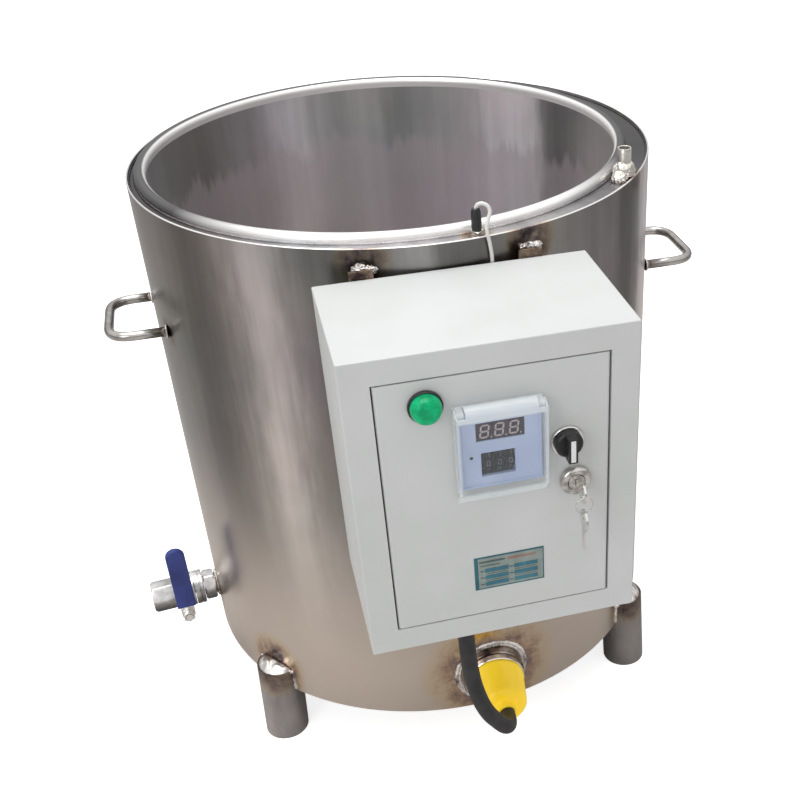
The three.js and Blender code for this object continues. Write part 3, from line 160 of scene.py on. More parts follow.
def feed(node, *fed, **values):
    """Fills a node's inputs in order, and its properties or inputs by name. A node gives its first
    output. An output is linked, None is left out and anything else is set."""
    asked = list(enumerate(fed))
    for name, value in values.items():
        if hasattr(node, name):
            setattr(node, name, value)
        else:
            asked.append((name.replace("_", " "), value))
    for key, value in asked:
        if isinstance(value, bpy.types.Node):
            value = value.outputs[0]
        if isinstance(value, bpy.types.NodeSocket):
            node.id_data.links.new(value, node.inputs[key])
        elif value is not None:
            node.inputs[key].default_value = value
    return node


def add_node(tree, kind, *fed, **values):
    """A new node of a tree, with its inputs and properties filled."""
    return feed(tree.nodes.new(kind), *fed, **values)


def ranged(tree, value, low, high, to_low=0.0, to_high=1.0, **more):
    """A value carried over from one range to another."""
    return add_node(tree, "ShaderNodeMapRange", value, low, high, to_low, to_high, **more)


def object_place(tree):
    return add_node(tree, "ShaderNodeTexCoord").outputs["Object"]


def noise_node(tree, place, stretch=None, **values):
    """A noise over a place, drawn out along its axes where a stretch is given."""
    if stretch:
        place = add_node(tree, "ShaderNodeMapping", place, Scale=stretch)
    return add_node(tree, "ShaderNodeTexNoise", place, **values)


def ramp_node(tree, stops, share):
    """A ramp of colours; stops are a position and a colour, the first two in rising order."""
    ramp = add_node(tree, "ShaderNodeValToRGB", share)
    elements = ramp.color_ramp.elements
    for k, (position, color) in enumerate(stops):
        stop = elements[k] if k < 2 else elements.new(position)
        stop.position, stop.color = position, (*color, 1)
    return ramp


def new_material(name, color, roughness, metallic=0.0, **values):
    """A material and its shader, with the numbers that hold all over it."""
    material = bpy.data.materials.new(name)
    material.use_nodes = True
    shader = material.node_tree.nodes["Principled BSDF"]
    feed(shader, Base_Color=(*color, 1), Roughness=roughness, Metallic=metallic, **values)
    return material, shader


def finish(name, color, roughness, tones, spots, grain=None, metallic=0.0, stretch=(1, 1, 1), detail=4.0,
           span=(0.35, 0.65), middle=(), rough=None, grain_stretch=(1, 1, 1), **values):
    """A material of two tones, or more with those of the middle, mixed by a noise of spots over the
    span of its values. Grain is the scale and the strength of a fine relief, which also makes the
    gloss uneven where a range of roughness is given."""
    material, shader = new_material(name, color, roughness, metallic, **values)
    tree = material.node_tree
    patches = noise_node(tree, object_place(tree), stretch, Scale=spots, Detail=detail, Roughness=0.6)
    stops = [(span[0], tones[0]), (span[1], tones[1]), *middle]
    feed(shader, Base_Color=ramp_node(tree, stops, patches))
    if grain:
        fine = noise_node(tree, object_place(tree), grain_stretch, Scale=grain[0], Detail=3.0, Roughness=0.6)
        feed(shader, Normal=add_node(tree, "ShaderNodeBump", Height=fine, Strength=grain[1], Distance=0.0005))
        if rough:
            feed(shader, Roughness=ranged(tree, fine, 0, 1, *rough))
    return material


rubber = finish("cable_rubber", (0.018, 0.018, 0.019), 0.55,
                ((0.016, 0.016, 0.017), (0.034, 0.033, 0.033)), 60, (700, 0.25), rough=(0.42, 0.62))
hung_cord("heater_cable_sheath", "heater_cable", "cable_black", cable_points, cable_diameter, 32, rubber)

# Probe lead: a 3.5 mm braided lead, 450 mm from the sleeve over the rim, down behind the box
# and up into the small gland under it. The part above the box shows in the photograph.
lead_diameter = 3.5 * mm
lead_points = [
    (32, -262.5, 659.6), (32, -262.5, 662.4), (33.4, -263.8, 666.4), (37.2, -266.4, 668.2),
    (41.6, -268.6, 666), (43, -270.4, 661.4), (40.6, -272.4, 655.6), (38.6, -274.4, 650.4),
    (38.6, -275.8, 644), (40.4, -275.8, 634), (42, -275, 620),
    (42, -275, 560), (42, -275, 500), (42, -275, 440), (42, -275, 380), (42, -275, 330),
    (42, -275, 305), (42, -275, 292), (42, -278.7, 283.2), (42, -287.5, 279.5), (42, -296.3, 283.2),
    (42, -300, 292), (42, -300, 300), (42, -300, 308.4)]
braid, shader = new_material("lead_braid", (0.78, 0.77, 0.74), 0.55)
tree = braid.node_tree
turn = add_node(tree, "ShaderNodeMapping", add_node(tree, "ShaderNodeTexCoord").outputs["UV"],
                Scale=(6, 3.4, 1), Rotation=(0, 0, math.radians(45)))
weave = add_node(tree, "ShaderNodeTexChecker", turn, (0.83, 0.82, 0.79, 1), (0.70, 0.69, 0.66, 1), 3.0)
relief = add_node(tree, "ShaderNodeBump", Height=weave.outputs["Fac"], Strength=0.4, Distance=0.0002)
feed(shader, Base_Color=weave, Normal=relief)
hung_cord("probe_lead_braid", "probe_lead", "lead_white", lead_points, lead_diameter, 16, braid)

# Outer shell of the jacket: 2 mm stainless sheet rolled to 550 mm, brushed round, welded down the
# back. Its colour is painted reflection in upright bands, with painted highlights in the pale bands,
# darker above and warmer below, and a painted highlight along its top edge, as the photograph has it.
shell_reach = 275
shell_radius, shell_wall, shell_foot, rim = shell_reach * mm, 2 * mm, 70 * mm, 640 * mm


def turned_form(name, profile, material, centre=(0, 0), segments=256, closed=True, crease=35):
    """A smooth form turned about an upright line; profile points are radius and height in metres.
    A third value is the width across the flats where the form is a hexagon."""
    mesh = bmesh.new()
    rings = []
    for radius, height, *flats in profile:
        place = Vector((centre[0], centre[1], height))
        if radius == 0:
            rings.append([mesh.verts.new(place)] * segments)
            continue
        ring = []
        for a in (2 * math.pi * j / segments for j in range(segments)):
            reach = min([radius] + [w / 2 / math.cos(a % (math.pi / 3) - math.pi / 6) for w in flats])
            ring.append(mesh.verts.new(place + Vector((math.cos(a), math.sin(a), 0)) * reach))
        rings.append(ring)
    pairs = list(zip(rings, rings[1:])) + ([(rings[-1], rings[0])] if closed else [])
    for low, high in pairs:
        for j in range(segments):
            n = (j + 1) % segments
            corners = list(dict.fromkeys((low[j], low[n], high[n], high[j])))
            if len(corners) > 2:
                mesh.faces.new(corners).smooth = True
    bmesh.ops.recalc_face_normals(mesh, faces=mesh.faces)
    return made_piece(name, mesh, material, crease)


def calc(tree, operation, *values):
    return add_node(tree, "ShaderNodeMath", *values, operation=operation)


def vector_calc(tree, operation, *values, **named):
    return add_node(tree, "ShaderNodeVectorMath", *values, operation=operation, **named)


def blended(tree, share, first, second):
    """The output of a mix of two colours, by the share of the second."""
    return add_node(tree, "ShaderNodeMix", share, None, None, None, first, second,
                    data_type="VECTOR").outputs[1]


def banded_steel(name, centre, bands, streak, rough, tint=(1, 0.955, 0.93), foot=None, painted_highlight_from=None,
                 painted_dark_beyond=None, metallic=1.0):
    """Brushed sheet whose colour is painted reflection in upright bands round an axis; bands are
    degree and grey. Foot is a colour and the heights over which it gives way; above a given height
    it is a painted near-white highlight, and beyond a given radius at the sides and the back it is
    a painted dark reflection."""
    material, shader = new_material(name, (0.5, 0.48, 0.46), rough[0], metallic)
    tree = material.node_tree
    centred = add_node(tree, "ShaderNodeMapping", object_place(tree), (-centre[0], -centre[1], 0))
    parts = add_node(tree, "ShaderNodeSeparateXYZ", centred)
    back = calc(tree, "MULTIPLY", parts.outputs["Y"], -1)
    share = ranged(tree, calc(tree, "ARCTAN2", parts.outputs["X"], back), -math.pi, math.pi)
    flat = add_node(tree, "ShaderNodeCombineXYZ", share, parts.outputs["Z"])
    # the bands of painted reflection, their edges torn by half a tear to either side
    tear = 0.022
    tears = noise_node(tree, flat, (90, 9, 1), Scale=1.0, Detail=3.0, Roughness=0.6)
    torn = calc(tree, "SUBTRACT", calc(tree, "MULTIPLY_ADD", tears, tear, share), tear / 2)
    stops = [(degree / 360 + 0.5, tuple(grey * part for part in tint)) for degree, grey in bands]
    ramp = ramp_node(tree, [stops[0], stops[-1], *stops[1:-1]], torn)
    ramp.color_ramp.interpolation = "B_SPLINE"
    # streaks drawn down the sheet, and cloudy patches on top of them
    streaks = noise_node(tree, flat, (85, 2.2, 1), Scale=1.0, Detail=5.0, Roughness=0.62)
    clouds = noise_node(tree, centred, Scale=9.0, Detail=4.0, Roughness=0.55)
    gain = ranged(tree, calc(tree, "ADD", streaks, clouds), 0.6, 1.4, 1 - streak, 1 + streak)
    # pale green and rose casts in wide patches
    cast = noise_node(tree, centred, Scale=4.5, Detail=2.0).outputs["Color"]
    soft = vector_calc(tree, "MULTIPLY_ADD", cast, (0.30, 0.22, 0.34), (0.85, 0.89, 0.83))
    last = vector_calc(tree, "MULTIPLY", vector_calc(tree, "SCALE", ramp, Scale=gain), soft)
    if foot:
        color, low, high = foot
        climb = ranged(tree, parts.outputs["Z"], low, high, interpolation_type="SMOOTHSTEP")
        even = vector_calc(tree, "SCALE", color, Scale=ranged(tree, clouds, 0, 1, 0.93, 1.07))
        last = blended(tree, climb, even, last)
    # painted highlight: near white above the given height
    if painted_highlight_from:
        edge = ranged(tree, parts.outputs["Z"], painted_highlight_from - 0.4 * mm, painted_highlight_from)
        last = blended(tree, edge, last, (0.96, 0.945, 0.93))
    # painted dark reflection: near black beyond the given radius, away from the front
    if painted_dark_beyond:
        out = vector_calc(tree, "LENGTH", vector_calc(tree, "MULTIPLY", centred, (1, 1, 0)))
        flank = ranged(tree, out.outputs["Value"], painted_dark_beyond, painted_dark_beyond + 1.6 * mm)
        behind = ranged(tree, parts.outputs["Y"], -225 * mm, -130 * mm)
        last = blended(tree, calc(tree, "MULTIPLY", flank, behind), last, (0.08, 0.077, 0.08))
    # fine brushing round the sheet
    brushing = noise_node(tree, centred, (7, 7, 900), Scale=1.0, Detail=2.0)
    relief = add_node(tree, "ShaderNodeBump", Height=brushing, Strength=0.12, Distance=0.0002)
    feed(shader, Base_Color=last, Normal=relief, Roughness=ranged(tree, streaks, 0, 1, *rough))
    return material


# painted reflections: the sheet's grey by degrees round from the front; the pale bands at -37 and 60 degrees
# are painted highlights
shell_painted_reflections = [
    (-180, 0.42), (-150, 0.55), (-128, 0.30), (-108, 0.22), (-92, 0.34), (-84, 0.42), (-77, 0.20),
    (-70, 0.19), (-63, 0.23), (-57, 0.11), (-50, 0.16), (-43, 0.32), (-37, 0.70), (-31, 0.25), (-22, 0.18),
    (-12, 0.12), (-5, 0.45), (0, 0.12), (10, 0.14), (20, 0.36), (32, 0.22), (40, 0.26), (47, 0.04),
    (54, 0.06), (60, 0.85), (70, 0.38), (78, 0.42), (86, 0.26), (104, 0.50), (124, 0.26), (150, 0.60),
    (180, 0.42)]
# the foot colour paints the paler, warmer reflection low down, and the bright edge is a painted highlight on
# the top of the shell
shell_steel = banded_steel("shell_steel", axis, shell_painted_reflections, 0.26, (0.22, 0.38),
                           foot=((0.64, 0.565, 0.50), 0.11, 0.43), painted_highlight_from=rim - 0.5 * mm)
shell_inside = shell_radius - shell_wall
shell = turned_form("shell_wall", [
    (shell_radius, shell_foot), (shell_radius, 0.2), (shell_radius, 0.4), (shell_radius, rim - 0.6 * mm),
    (shell_radius - 0.6 * mm, rim), (shell_inside + 0.5 * mm, rim), (shell_inside, rim - 0.5 * mm),
    (shell_inside, shell_foot)], shell_steel, centre=axis)
stand_for(shell, "vessel", "stainless_sheet", "outer_shell")

# Inner pot: stainless sheet with a dished floor corner and its rim rolled into a 12 mm bead. It
# hangs in the jacket a little left of the middle, and its floor has the drain hole. Its wall is
# painted reflection in upright bands with painted highlights, and low down a paler mauve painted
# reflection, torn along its edge; the bead is a painted highlight, painted dark at the sides and
# the back, and the floor an even grey.
pot_centre = (axis.x - 8 * mm, axis.y + 3 * mm)
pot_radius, pot_wall, pot_floor, pot_corner = 248 * mm, 2 * mm, 160 * mm, 25 * mm
bead_radius = 6 * mm
bead_centre = pot_radius + bead_radius - pot_wall / 2
drain_turn = math.radians(186)
drain_way = Vector((math.cos(drain_turn), math.sin(drain_turn), 0))
drain_reach, drain_bore = 190 * mm, 10.45 * mm


def arc(centre, height, radius, start, end, steps):
    """Points of an arc in the profile of a turned form, from one angle to another in degrees."""
    return [(centre + radius * math.cos(math.radians(start + (end - start) * k / steps)),
             height + radius * math.sin(math.radians(start + (end - start) * k / steps)))
            for k in range(steps + 1)]


def base_of(material):
    """A material's tree, its shader and what gives the shader its colour."""
    shader = material.node_tree.nodes["Principled BSDF"]
    return material.node_tree, shader, shader.inputs["Base Color"].links[0].from_socket


def settled(piece):
    """The piece as a plain mesh with its modifiers applied."""
    bpy.context.view_layer.update()
    mesh = bpy.data.meshes.new_from_object(piece.evaluated_get(bpy.context.evaluated_depsgraph_get()))
    piece.modifiers.clear()
    old = piece.data
    piece.data = mesh
    bpy.data.meshes.remove(old)
    mesh.name = piece.name
    return piece


def cut_by(piece, cutter, crease=35):
    """Takes a solid cutter out of a piece and removes the cutter."""
    modifier = piece.modifiers.new("cut", "BOOLEAN")
    modifier.object = cutter
    modifier.solver = "EXACT"
    settled(piece)
    bpy.data.objects.remove(cutter)
    piece.data.set_sharp_from_angle(angle=math.radians(crease))


def cutter_rod(radius, low, high, centre, segments, material):
    """A solid upright rod to cut with."""
    return turned_form("cutter", [(0, low), (radius, low), (radius, high), (0, high)], material,
                       centre=centre, segments=segments, closed=False)


# painted reflections round the pot wall; the greys of 1.0 are painted highlight streaks
pot_painted_reflections = [
    (-180, 0.52), (-176, 0.44), (-168, 0.56), (-160, 1.0), (-153, 0.44), (-144, 0.38), (-136, 0.28),
    (-128, 0.22), (-118, 0.28), (-104, 0.42), (-60, 0.55), (0, 0.55), (60, 0.55), (96, 0.42), (108, 0.26),
    (119, 0.10), (124, 1.0), (132, 1.0), (139, 1.0), (145, 0.64), (154, 0.54), (162, 0.46), (168, 0.30),
    (174, 0.58), (180, 0.52)]
# the bead above 634.5 mm is a painted highlight, painted dark beyond 248.8 mm at the sides and back
pot_steel = banded_steel("pot_steel", pot_centre, pot_painted_reflections, 0.2, (0.24, 0.38), tint=(1, 0.98, 0.99),
                         foot=((0.42, 0.41, 0.415), 0.166, 0.30), painted_highlight_from=634.5 * mm,
                         painted_dark_beyond=248.8 * mm, metallic=0.4)
tree, shader, above = base_of(pot_steel)
place = object_place(tree)
# painted reflection of the far wall: paler mauve, mixed in by half below a torn line near 567 mm
ragged = noise_node(tree, place, (42, 42, 1.5), Scale=1.0, Detail=5.0, Roughness=0.7)
shift = ranged(tree, ragged, 0.3, 0.7, -20 * mm, 20 * mm)
height = calc(tree, "ADD", add_node(tree, "ShaderNodeSeparateXYZ", place).outputs["Z"], shift)
pale = ranged(tree, height, 574 * mm, 560 * mm, 0, 0.5)
feed(shader, Base_Color=blended(tree, pale, above, (0.62, 0.55, 0.57)))
inner_meet = 180 + math.degrees(math.acos((bead_centre - pot_radius) / bead_radius))
outer_meet = -180 + math.degrees(math.acos((bead_centre - pot_radius - pot_wall) / bead_radius))
pot = turned_form(
    "pot_sheet",
    [(0, pot_floor)]
    + arc(pot_radius - pot_corner, pot_floor + pot_corner, pot_corner, -90, 0, 12)
    + [(pot_radius, 0.4)]
    + arc(bead_centre, rim, bead_radius, inner_meet, outer_meet, 28)
    + [(pot_radius + pot_wall, 0.4)]
    + arc(pot_radius - pot_corner, pot_floor + pot_corner, pot_corner + pot_wall, 0, -90, 12)
    + [(0, pot_floor - pot_wall)],
    pot_steel, centre=pot_centre, closed=False)
cut_by(pot, cutter_rod(drain_bore, pot_floor - 10 * mm, pot_floor + 10 * mm,
                       (axis + drain_way * drain_reach).xy, 64, pot_steel), crease=50)
stand_for(pot, "vessel", "stainless_sheet", "inner_pot")

# Closing ring of the jacket: 2 mm plate sunk 3 mm below the edge of the shell and welded to it
# and to the pot all round, so it is dull and tinted brown and blue by the heat. Its bands, pale at
# the front and near black at the sides and back, are painted reflection and shade. The bottom
# plate of the shell is dull all over.
dull_steel = finish("welded_steel", (0.3, 0.29, 0.28), 0.42, ((0.22, 0.20, 0.19), (0.48, 0.45, 0.43)), 38,
                    (260, 0.35), metallic=1.0, detail=6.0, span=(0.38, 0.66), rough=(0.34, 0.6))
# painted reflection and shade round the ring: pale at the front, near black at the sides and back
ring_painted_reflections = [
    (-180, 0.20), (-130, 0.08), (-95, 0.06), (-70, 0.08), (-45, 0.26), (-28, 0.52), (10, 0.55), (30, 0.36),
    (48, 0.14), (70, 0.07), (100, 0.08), (140, 0.16), (180, 0.20)]
ring_steel = banded_steel("ring_steel", axis, ring_painted_reflections, 0.30, (0.28, 0.45),
                          tint=(1, 0.965, 0.98))


def finished(material, *names):
    """Carried-over pieces that take a material as they are."""
    for name in names:
        nodes[name].data.materials.clear()
        nodes[name].data.materials.append(material)


finished(ring_steel, "jacket_top_ring")
finished(dull_steel, "shell_bottom")

# Welds: beads of overlapping ripples along each joint, bright in the middle with a straw and blue
# tint beside them. One tree lays the ripples along a route at the stated spacing.
weld_metal = finish("weld_metal", (0.6, 0.57, 0.54), 0.34, ((0.17, 0.13, 0.12), (0.95, 0.93, 0.91)), 60,
                    (500, 0.4), metallic=1.0, detail=6.0, span=(0.34, 0.60),
                    middle=[(0.46, (0.62, 0.58, 0.55))], rough=(0.25, 0.55))
ripple_spacing = 0.3
probe_foot = (32, -262.5)


def growing_tree(name, **inputs):
    """A tree that grows pieces on bare corners and edges, what it takes in and where it ends."""
    tree = bpy.data.node_groups.new(name, "GeometryNodeTree")
    for label, kind in (("Geometry", "Geometry"), *inputs.items()):
        tree.interface.new_socket(label, in_out="INPUT", socket_type="NodeSocket" + kind)
    tree.interface.new_socket("Geometry", in_out="OUTPUT", socket_type="NodeSocketGeometry")
    return tree, tree.nodes.new("NodeGroupInput").outputs, tree.nodes.new("NodeGroupOutput")


def grown(name, tree, corners, edges, **values):
    """What a tree grows on bare corners and edges, as one plain mesh."""
    data = bpy.data.meshes.new(name)
    data.from_pydata([tuple(place) for place in corners], edges, [])
    piece = linked(name, data)
    modifier = piece.modifiers.new("grown", "NODES")
    modifier.node_group = tree
    for item in tree.interface.items_tree:
        if item.in_out == "INPUT" and item.name in values:
            modifier[item.identifier] = values[item.name]
    return settled(piece)


ripple_tree, taken, last = growing_tree("weld_ripples", Spacing="Float", Width="Float", Seed="Int",
                                        Material="Material")
to_curve = add_node(ripple_tree, "GeometryNodeMeshToCurve", taken["Geometry"])
to_points = add_node(ripple_tree, "GeometryNodeCurveToPoints", to_curve, mode="LENGTH",
                     Length=taken["Spacing"])
ripple = add_node(ripple_tree, "GeometryNodeMeshIcoSphere", Radius=0.5, Subdivisions=2)
uneven = add_node(ripple_tree, "FunctionNodeRandomValue", data_type="FLOAT_VECTOR", Min=(0.6, 0.8, 0.6),
                  Max=(0.9, 1.1, 0.85), Seed=taken["Seed"])
lay = add_node(ripple_tree, "GeometryNodeInstanceOnPoints", to_points, Instance=ripple,
               Rotation=to_points.outputs["Rotation"],
               Scale=vector_calc(ripple_tree, "SCALE", uneven, Scale=taken["Width"]))
realize = add_node(ripple_tree, "GeometryNodeRealizeInstances", lay)
smooth = add_node(ripple_tree, "GeometryNodeSetShadeSmooth", realize)
feed(last, add_node(ripple_tree, "GeometryNodeSetMaterial", smooth, Material=taken["Material"]))


def weld_bead(name, routes, width, seed, metal=weld_metal):
    """A row of weld ripples along each route, as one piece."""
    corners, edges = [], []
    for route in routes:
        edges += [(len(corners) + k, len(corners) + k + 1) for k in range(len(route) - 1)]
        corners += route
    bead = grown(name, ripple_tree, corners, edges, Spacing=width * ripple_spacing, Width=width, Seed=seed,
                 Material=metal)
    stand_for(bead, "vessel", "steel_dull")


def weld_lump(name, place, size, seed, turn=0.0, metal=weld_metal, knobbly=1.0):
    """A knob of weld metal, its size in mm along its own axes, turned by degrees and roughened."""
    mesh = bmesh.new()
    bmesh.ops.create_icosphere(mesh, subdivisions=5, radius=0.5)
    for vert in mesh.verts:
        coarse, fine = (noise_of(vert.co * scale + Vector((seed * 7.3, 0, 0))) for scale in (4.2, 11))
        rough = vert.co * (1 + knobbly * (0.26 * coarse + 0.14 * fine))
        vert.co = Vector(u * v * mm for u, v in zip(rough, size))
    mesh.transform(Matrix.Translation(place) @ Matrix.Rotation(math.radians(turn), 4, "Z"))
    for face in mesh.faces:
        face.smooth = True
    return stand_for(made_piece(name, mesh, metal), "vessel", "steel_dull")


def ring_route(centre, radius, height):
    """Places on a level circle, every 3 degrees from +X."""
    return [Vector((centre[0] + radius * math.cos(a), centre[1] + radius * math.sin(a), height))
            for a in (math.radians(3 * k) for k in range(121))]


def heat_marks(material, spots):
    """Straw, brown and sooty heat tint that breaks up round each spot; a spot is a place and a reach."""
    tree, shader, clean = base_of(material)
    place = object_place(tree)
    most = 0.0
    for spot, reach in spots:
        away = vector_calc(tree, "DISTANCE", place, spot)
        most = calc(tree, "MAXIMUM", most, ranged(tree, away.outputs["Value"], reach, reach * 0.35))
    wander = noise_node(tree, place, Scale=55.0, Detail=6.0, Roughness=0.72)
    strength = calc(tree, "MULTIPLY", most, ranged(tree, wander, 0.32, 0.68, 0.3, 1.35))
    tints = ramp_node(tree, [(0.0, (1, 1, 1)), (1.0, (0.16, 0.13, 0.13)), (0.22, (1.0, 0.93, 0.78)),
                             (0.5, (0.74, 0.60, 0.50)), (0.75, (0.42, 0.36, 0.38))], strength)
    feed(shader, Base_Color=vector_calc(tree, "MULTIPLY", clean, tints))


def on_shell(degree, z):
    """A place on the outside of the shell, by degrees from the front."""
    turn = math.radians(degree)
    return from_axis(shell_reach * math.sin(turn), -shell_reach * math.cos(turn), z)


leg_places = {"leg_front_left": -52, "leg_front_right": 52, "leg_rear_left": -128, "leg_rear_right": 128}
# the legs, the heater, the drain, the two brackets, the port and the ends of the handles
hot_spots = [(degree, 100, 46) for degree in leg_places.values()]
hot_spots += [(4.2, 118, 84), (-84, 127, 42), (-15.4, 626, 30), (17.1, 626, 30), (52.3, 636, 18)]
hot_spots += [(side * degree, 504, 20) for side in (-1, 1) for degree in (71, 91)]
heat_marks(shell_steel, [(on_shell(degree, height), reach * mm) for degree, height, reach in hot_spots])
heat_marks(ring_steel, [(on_shell(52.3, 637), 30 * mm), (from_axis(*probe_foot, 637), 18 * mm)])
ring_top = 637 * mm
weld_bead("weld_ring_to_shell", [ring_route(axis, shell_radius - 2.9 * mm, ring_top + 0.2 * mm)],
          2.6 * mm, 3, ring_steel)
weld_bead("weld_ring_to_pot", [ring_route(pot_centre, bead_centre + 5.9 * mm, ring_top + 0.3 * mm)],
          3 * mm, 5, ring_steel)
weld_bead("weld_shell_back", [[from_axis(0, 274, z) for z in range(72, 638, 4)]], 4.4 * mm, 7, shell_steel)
weld_bead("weld_shell_foot", [ring_route(axis, shell_radius - 1.8 * mm, shell_foot + 0.5 * mm)], 2.4 * mm, 9,
          dull_steel)

# Legs: four stainless pipes of 51 mm, splayed 3 degrees, scarfed over the lower edge of the shell
# and welded round their tops. Grey mill finish with rust and blue tint near the welds, and painted
# shade that makes the legs on the right darker.
leg_steel = finish("leg_pipe", (0.26, 0.25, 0.245), 0.4, ((0.27, 0.255, 0.255), (0.56, 0.53, 0.525)), 16,
                   (90, 0.25), metallic=1.0, stretch=(1, 1, 0.35), detail=5.0, span=(0.3, 0.7),
                   rough=(0.3, 0.5), grain_stretch=(1, 1, 0.5))
tree, shader, clean = base_of(leg_steel)
patches = clean.node.inputs["Fac"].links[0].from_socket
parts = add_node(tree, "ShaderNodeSeparateXYZ", object_place(tree))
near_weld = ranged(tree, parts.outputs["Z"], 72 * mm, 100 * mm, interpolation_type="SMOOTHSTEP")
burnt = blended(tree, calc(tree, "MULTIPLY", near_weld, patches), clean, (0.10, 0.085, 0.08))
# painted shade: the legs grow darker towards the right
painted_shade_right = ranged(tree, parts.outputs["X"], -0.2, 0.23, 1.15, 0.85)
feed(shader, Base_Color=vector_calc(tree, "SCALE", burnt, Scale=painted_shade_right))

leg_radius, leg_wall, leg_top, leg_reach = 25.5 * mm, 2 * mm, 100 * mm, 277 * mm
leg_lean = math.tan(math.radians(3))

for seed, (name, degree) in enumerate(leg_places.items()):
    pipe = turned_form(name + "_pipe", [
        (leg_radius, 0.0), (leg_radius, leg_top), (leg_radius - leg_wall, leg_top),
        (leg_radius - leg_wall, 0.0)], leg_steel, segments=72)
    splay = Matrix(((1, 0, -leg_lean, leg_reach), (0, 1, 0, 0), (0, 0, 1, 0), (0, 0, 0, 1)))
    swing = Matrix.Translation(axis) @ Matrix.Rotation(math.radians(degree - 90), 4, "Z")
    pipe.data.transform(swing @ splay)
    cut_by(pipe, cutter_rod(shell_radius + 0.3 * mm, shell_foot - 0.3 * mm, leg_top + 20 * mm, axis.xy, 180,
                            leg_steel))
    stand_for(pipe, "vessel", "steel_dull", name)
    # where the pipe's outside meets the shell, up one side, over the top and down the other
    seam = []
    for height in (73, 80, 87, 94, 99):
        centre = leg_reach - leg_lean * height * mm
        across = (shell_radius ** 2 - leg_radius ** 2 + centre ** 2) / (2 * centre)
        seam.append((across, math.sqrt(max(shell_radius ** 2 - across ** 2, 0)), height * mm))
    spread = math.atan2(seam[-1][1], seam[-1][0])
    over = [Vector(((shell_radius + 1.5 * mm) * math.cos(a), (shell_radius + 1.5 * mm) * math.sin(a),
                    leg_top - 1.5 * mm)) for a in (spread - spread * 2 * k / 12 for k in range(13))]
    down = [Vector((x, -y, z)) for x, y, z in reversed(seam)]
    weld_bead("weld_" + name, [[swing @ Vector(place) for place in seam + over + down]], 6 * mm, 20 + seed)
    # lump of weld metal that closes the open crescent of the pipe's top and climbs the shell
    centre = leg_reach - leg_lean * leg_top
    reach = leg_radius - 1.2 * mm
    lump = bmesh.new()
    borders = []
    for under in (False, True):
        rows = []
        for k in range(33):
            y = reach * math.sin(math.pi * (k / 32 - 0.5))
            near = math.sqrt((shell_radius + 0.1 * mm) ** 2 - y ** 2)
            far = max(near + 0.2 * mm, centre + math.sqrt(max(reach ** 2 - y ** 2, 0)))
            edge = math.sqrt(max(1 - (y / reach) ** 2, 0))
            row = []
            for v in (j / 12 for j in range(13)):
                out, swell = near + v * (far - near), math.sin(math.pi * v)
                rise = (5.5 * swell ** 0.6 * edge + 7 * (1 - v) ** 2 * edge) * mm
                rough = noise_of(Vector((out, y, seed)) * 150) * 2.6 * mm * swell
                height = leg_top - 3 * mm if under else leg_top - 2 * mm + rise + rough
                row.append(lump.verts.new(swing @ Vector((out, y, height))))
            rows.append(row)
        for low, high in zip(rows, rows[1:]):
            for j in range(12):
                lump.faces.new((low[j], low[j + 1], high[j + 1], high[j])).smooth = True
        borders.append([row[0] for row in rows] + rows[-1][1:] + [row[-1] for row in rows[-2::-1]]
                       + rows[0][-2:0:-1])
    above, below = borders
    for k in range(len(above)):
        lump.faces.new((above[k - 1], above[k], below[k], below[k - 1]))
    bmesh.ops.recalc_face_normals(lump, faces=lump.faces)
    stand_for(made_piece("weld_top_" + name, lump, weld_metal), "vessel", "steel_dull")
heat_marks(leg_steel, [(on_shell(degree, 100), 44 * mm) for degree in leg_places.values()])

# Handles: 10 mm polished rod bent to a bracket 92 mm wide, welded level to the shell by its ends.
# One stands at each side, a little in front of the middle.
bright_rod = finish("bright_rod", (0.5, 0.48, 0.46), 0.2, ((0.34, 0.325, 0.31), (0.58, 0.56, 0.54)), 45,
                    (800, 0.12), metallic=1.0, detail=3.0, rough=(0.14, 0.3))
handle_radius, handle_reach, handle_half, handle_middle, handle_level, handle_bend = 5, 320, 46, -42, 504, 26


def rounded_run(corners, bend):
    """Straight runs joined by even bends of ten steps, as places in a row."""
    run = [corners[0]]
    for before, corner, after in zip(corners, corners[1:], corners[2:]):
        start = corner + (before - corner).normalized() * bend
        end = corner + (after - corner).normalized() * bend
        run += [start * (1 - t) ** 2 + corner * 2 * t * (1 - t) + end * t ** 2
                for t in (k / 10 for k in range(11))]
    return run + [corners[-1]]


for side, name in ((-1, "handle_left"), (1, "handle_right")):
    near, far = handle_middle - handle_half, handle_middle + handle_half
    start, end = (side * (math.sqrt(shell_reach ** 2 - y ** 2) + 0.2) for y in (near, far))
    reach = side * handle_reach
    corners = [from_axis(x, y, handle_level)
               for x, y in ((start, near), (reach, near), (reach, far), (end, far))]
    run = rounded_run(corners, handle_bend * mm)
    stand_for(tube_along(name + "_bar", run, handle_radius * mm, 24, bright_rod),
              "vessel", "stainless_fittings", name)
    roots = [[place + Vector((side * 1.2, 5.6 * math.cos(a), 5.6 * math.sin(a))) * mm
              for a in (2 * math.pi * k / 16 for k in range(17))] for place in (run[0], run[-1])]
    weld_bead("weld_" + name, roots, 3.2 * mm, 60 + side)

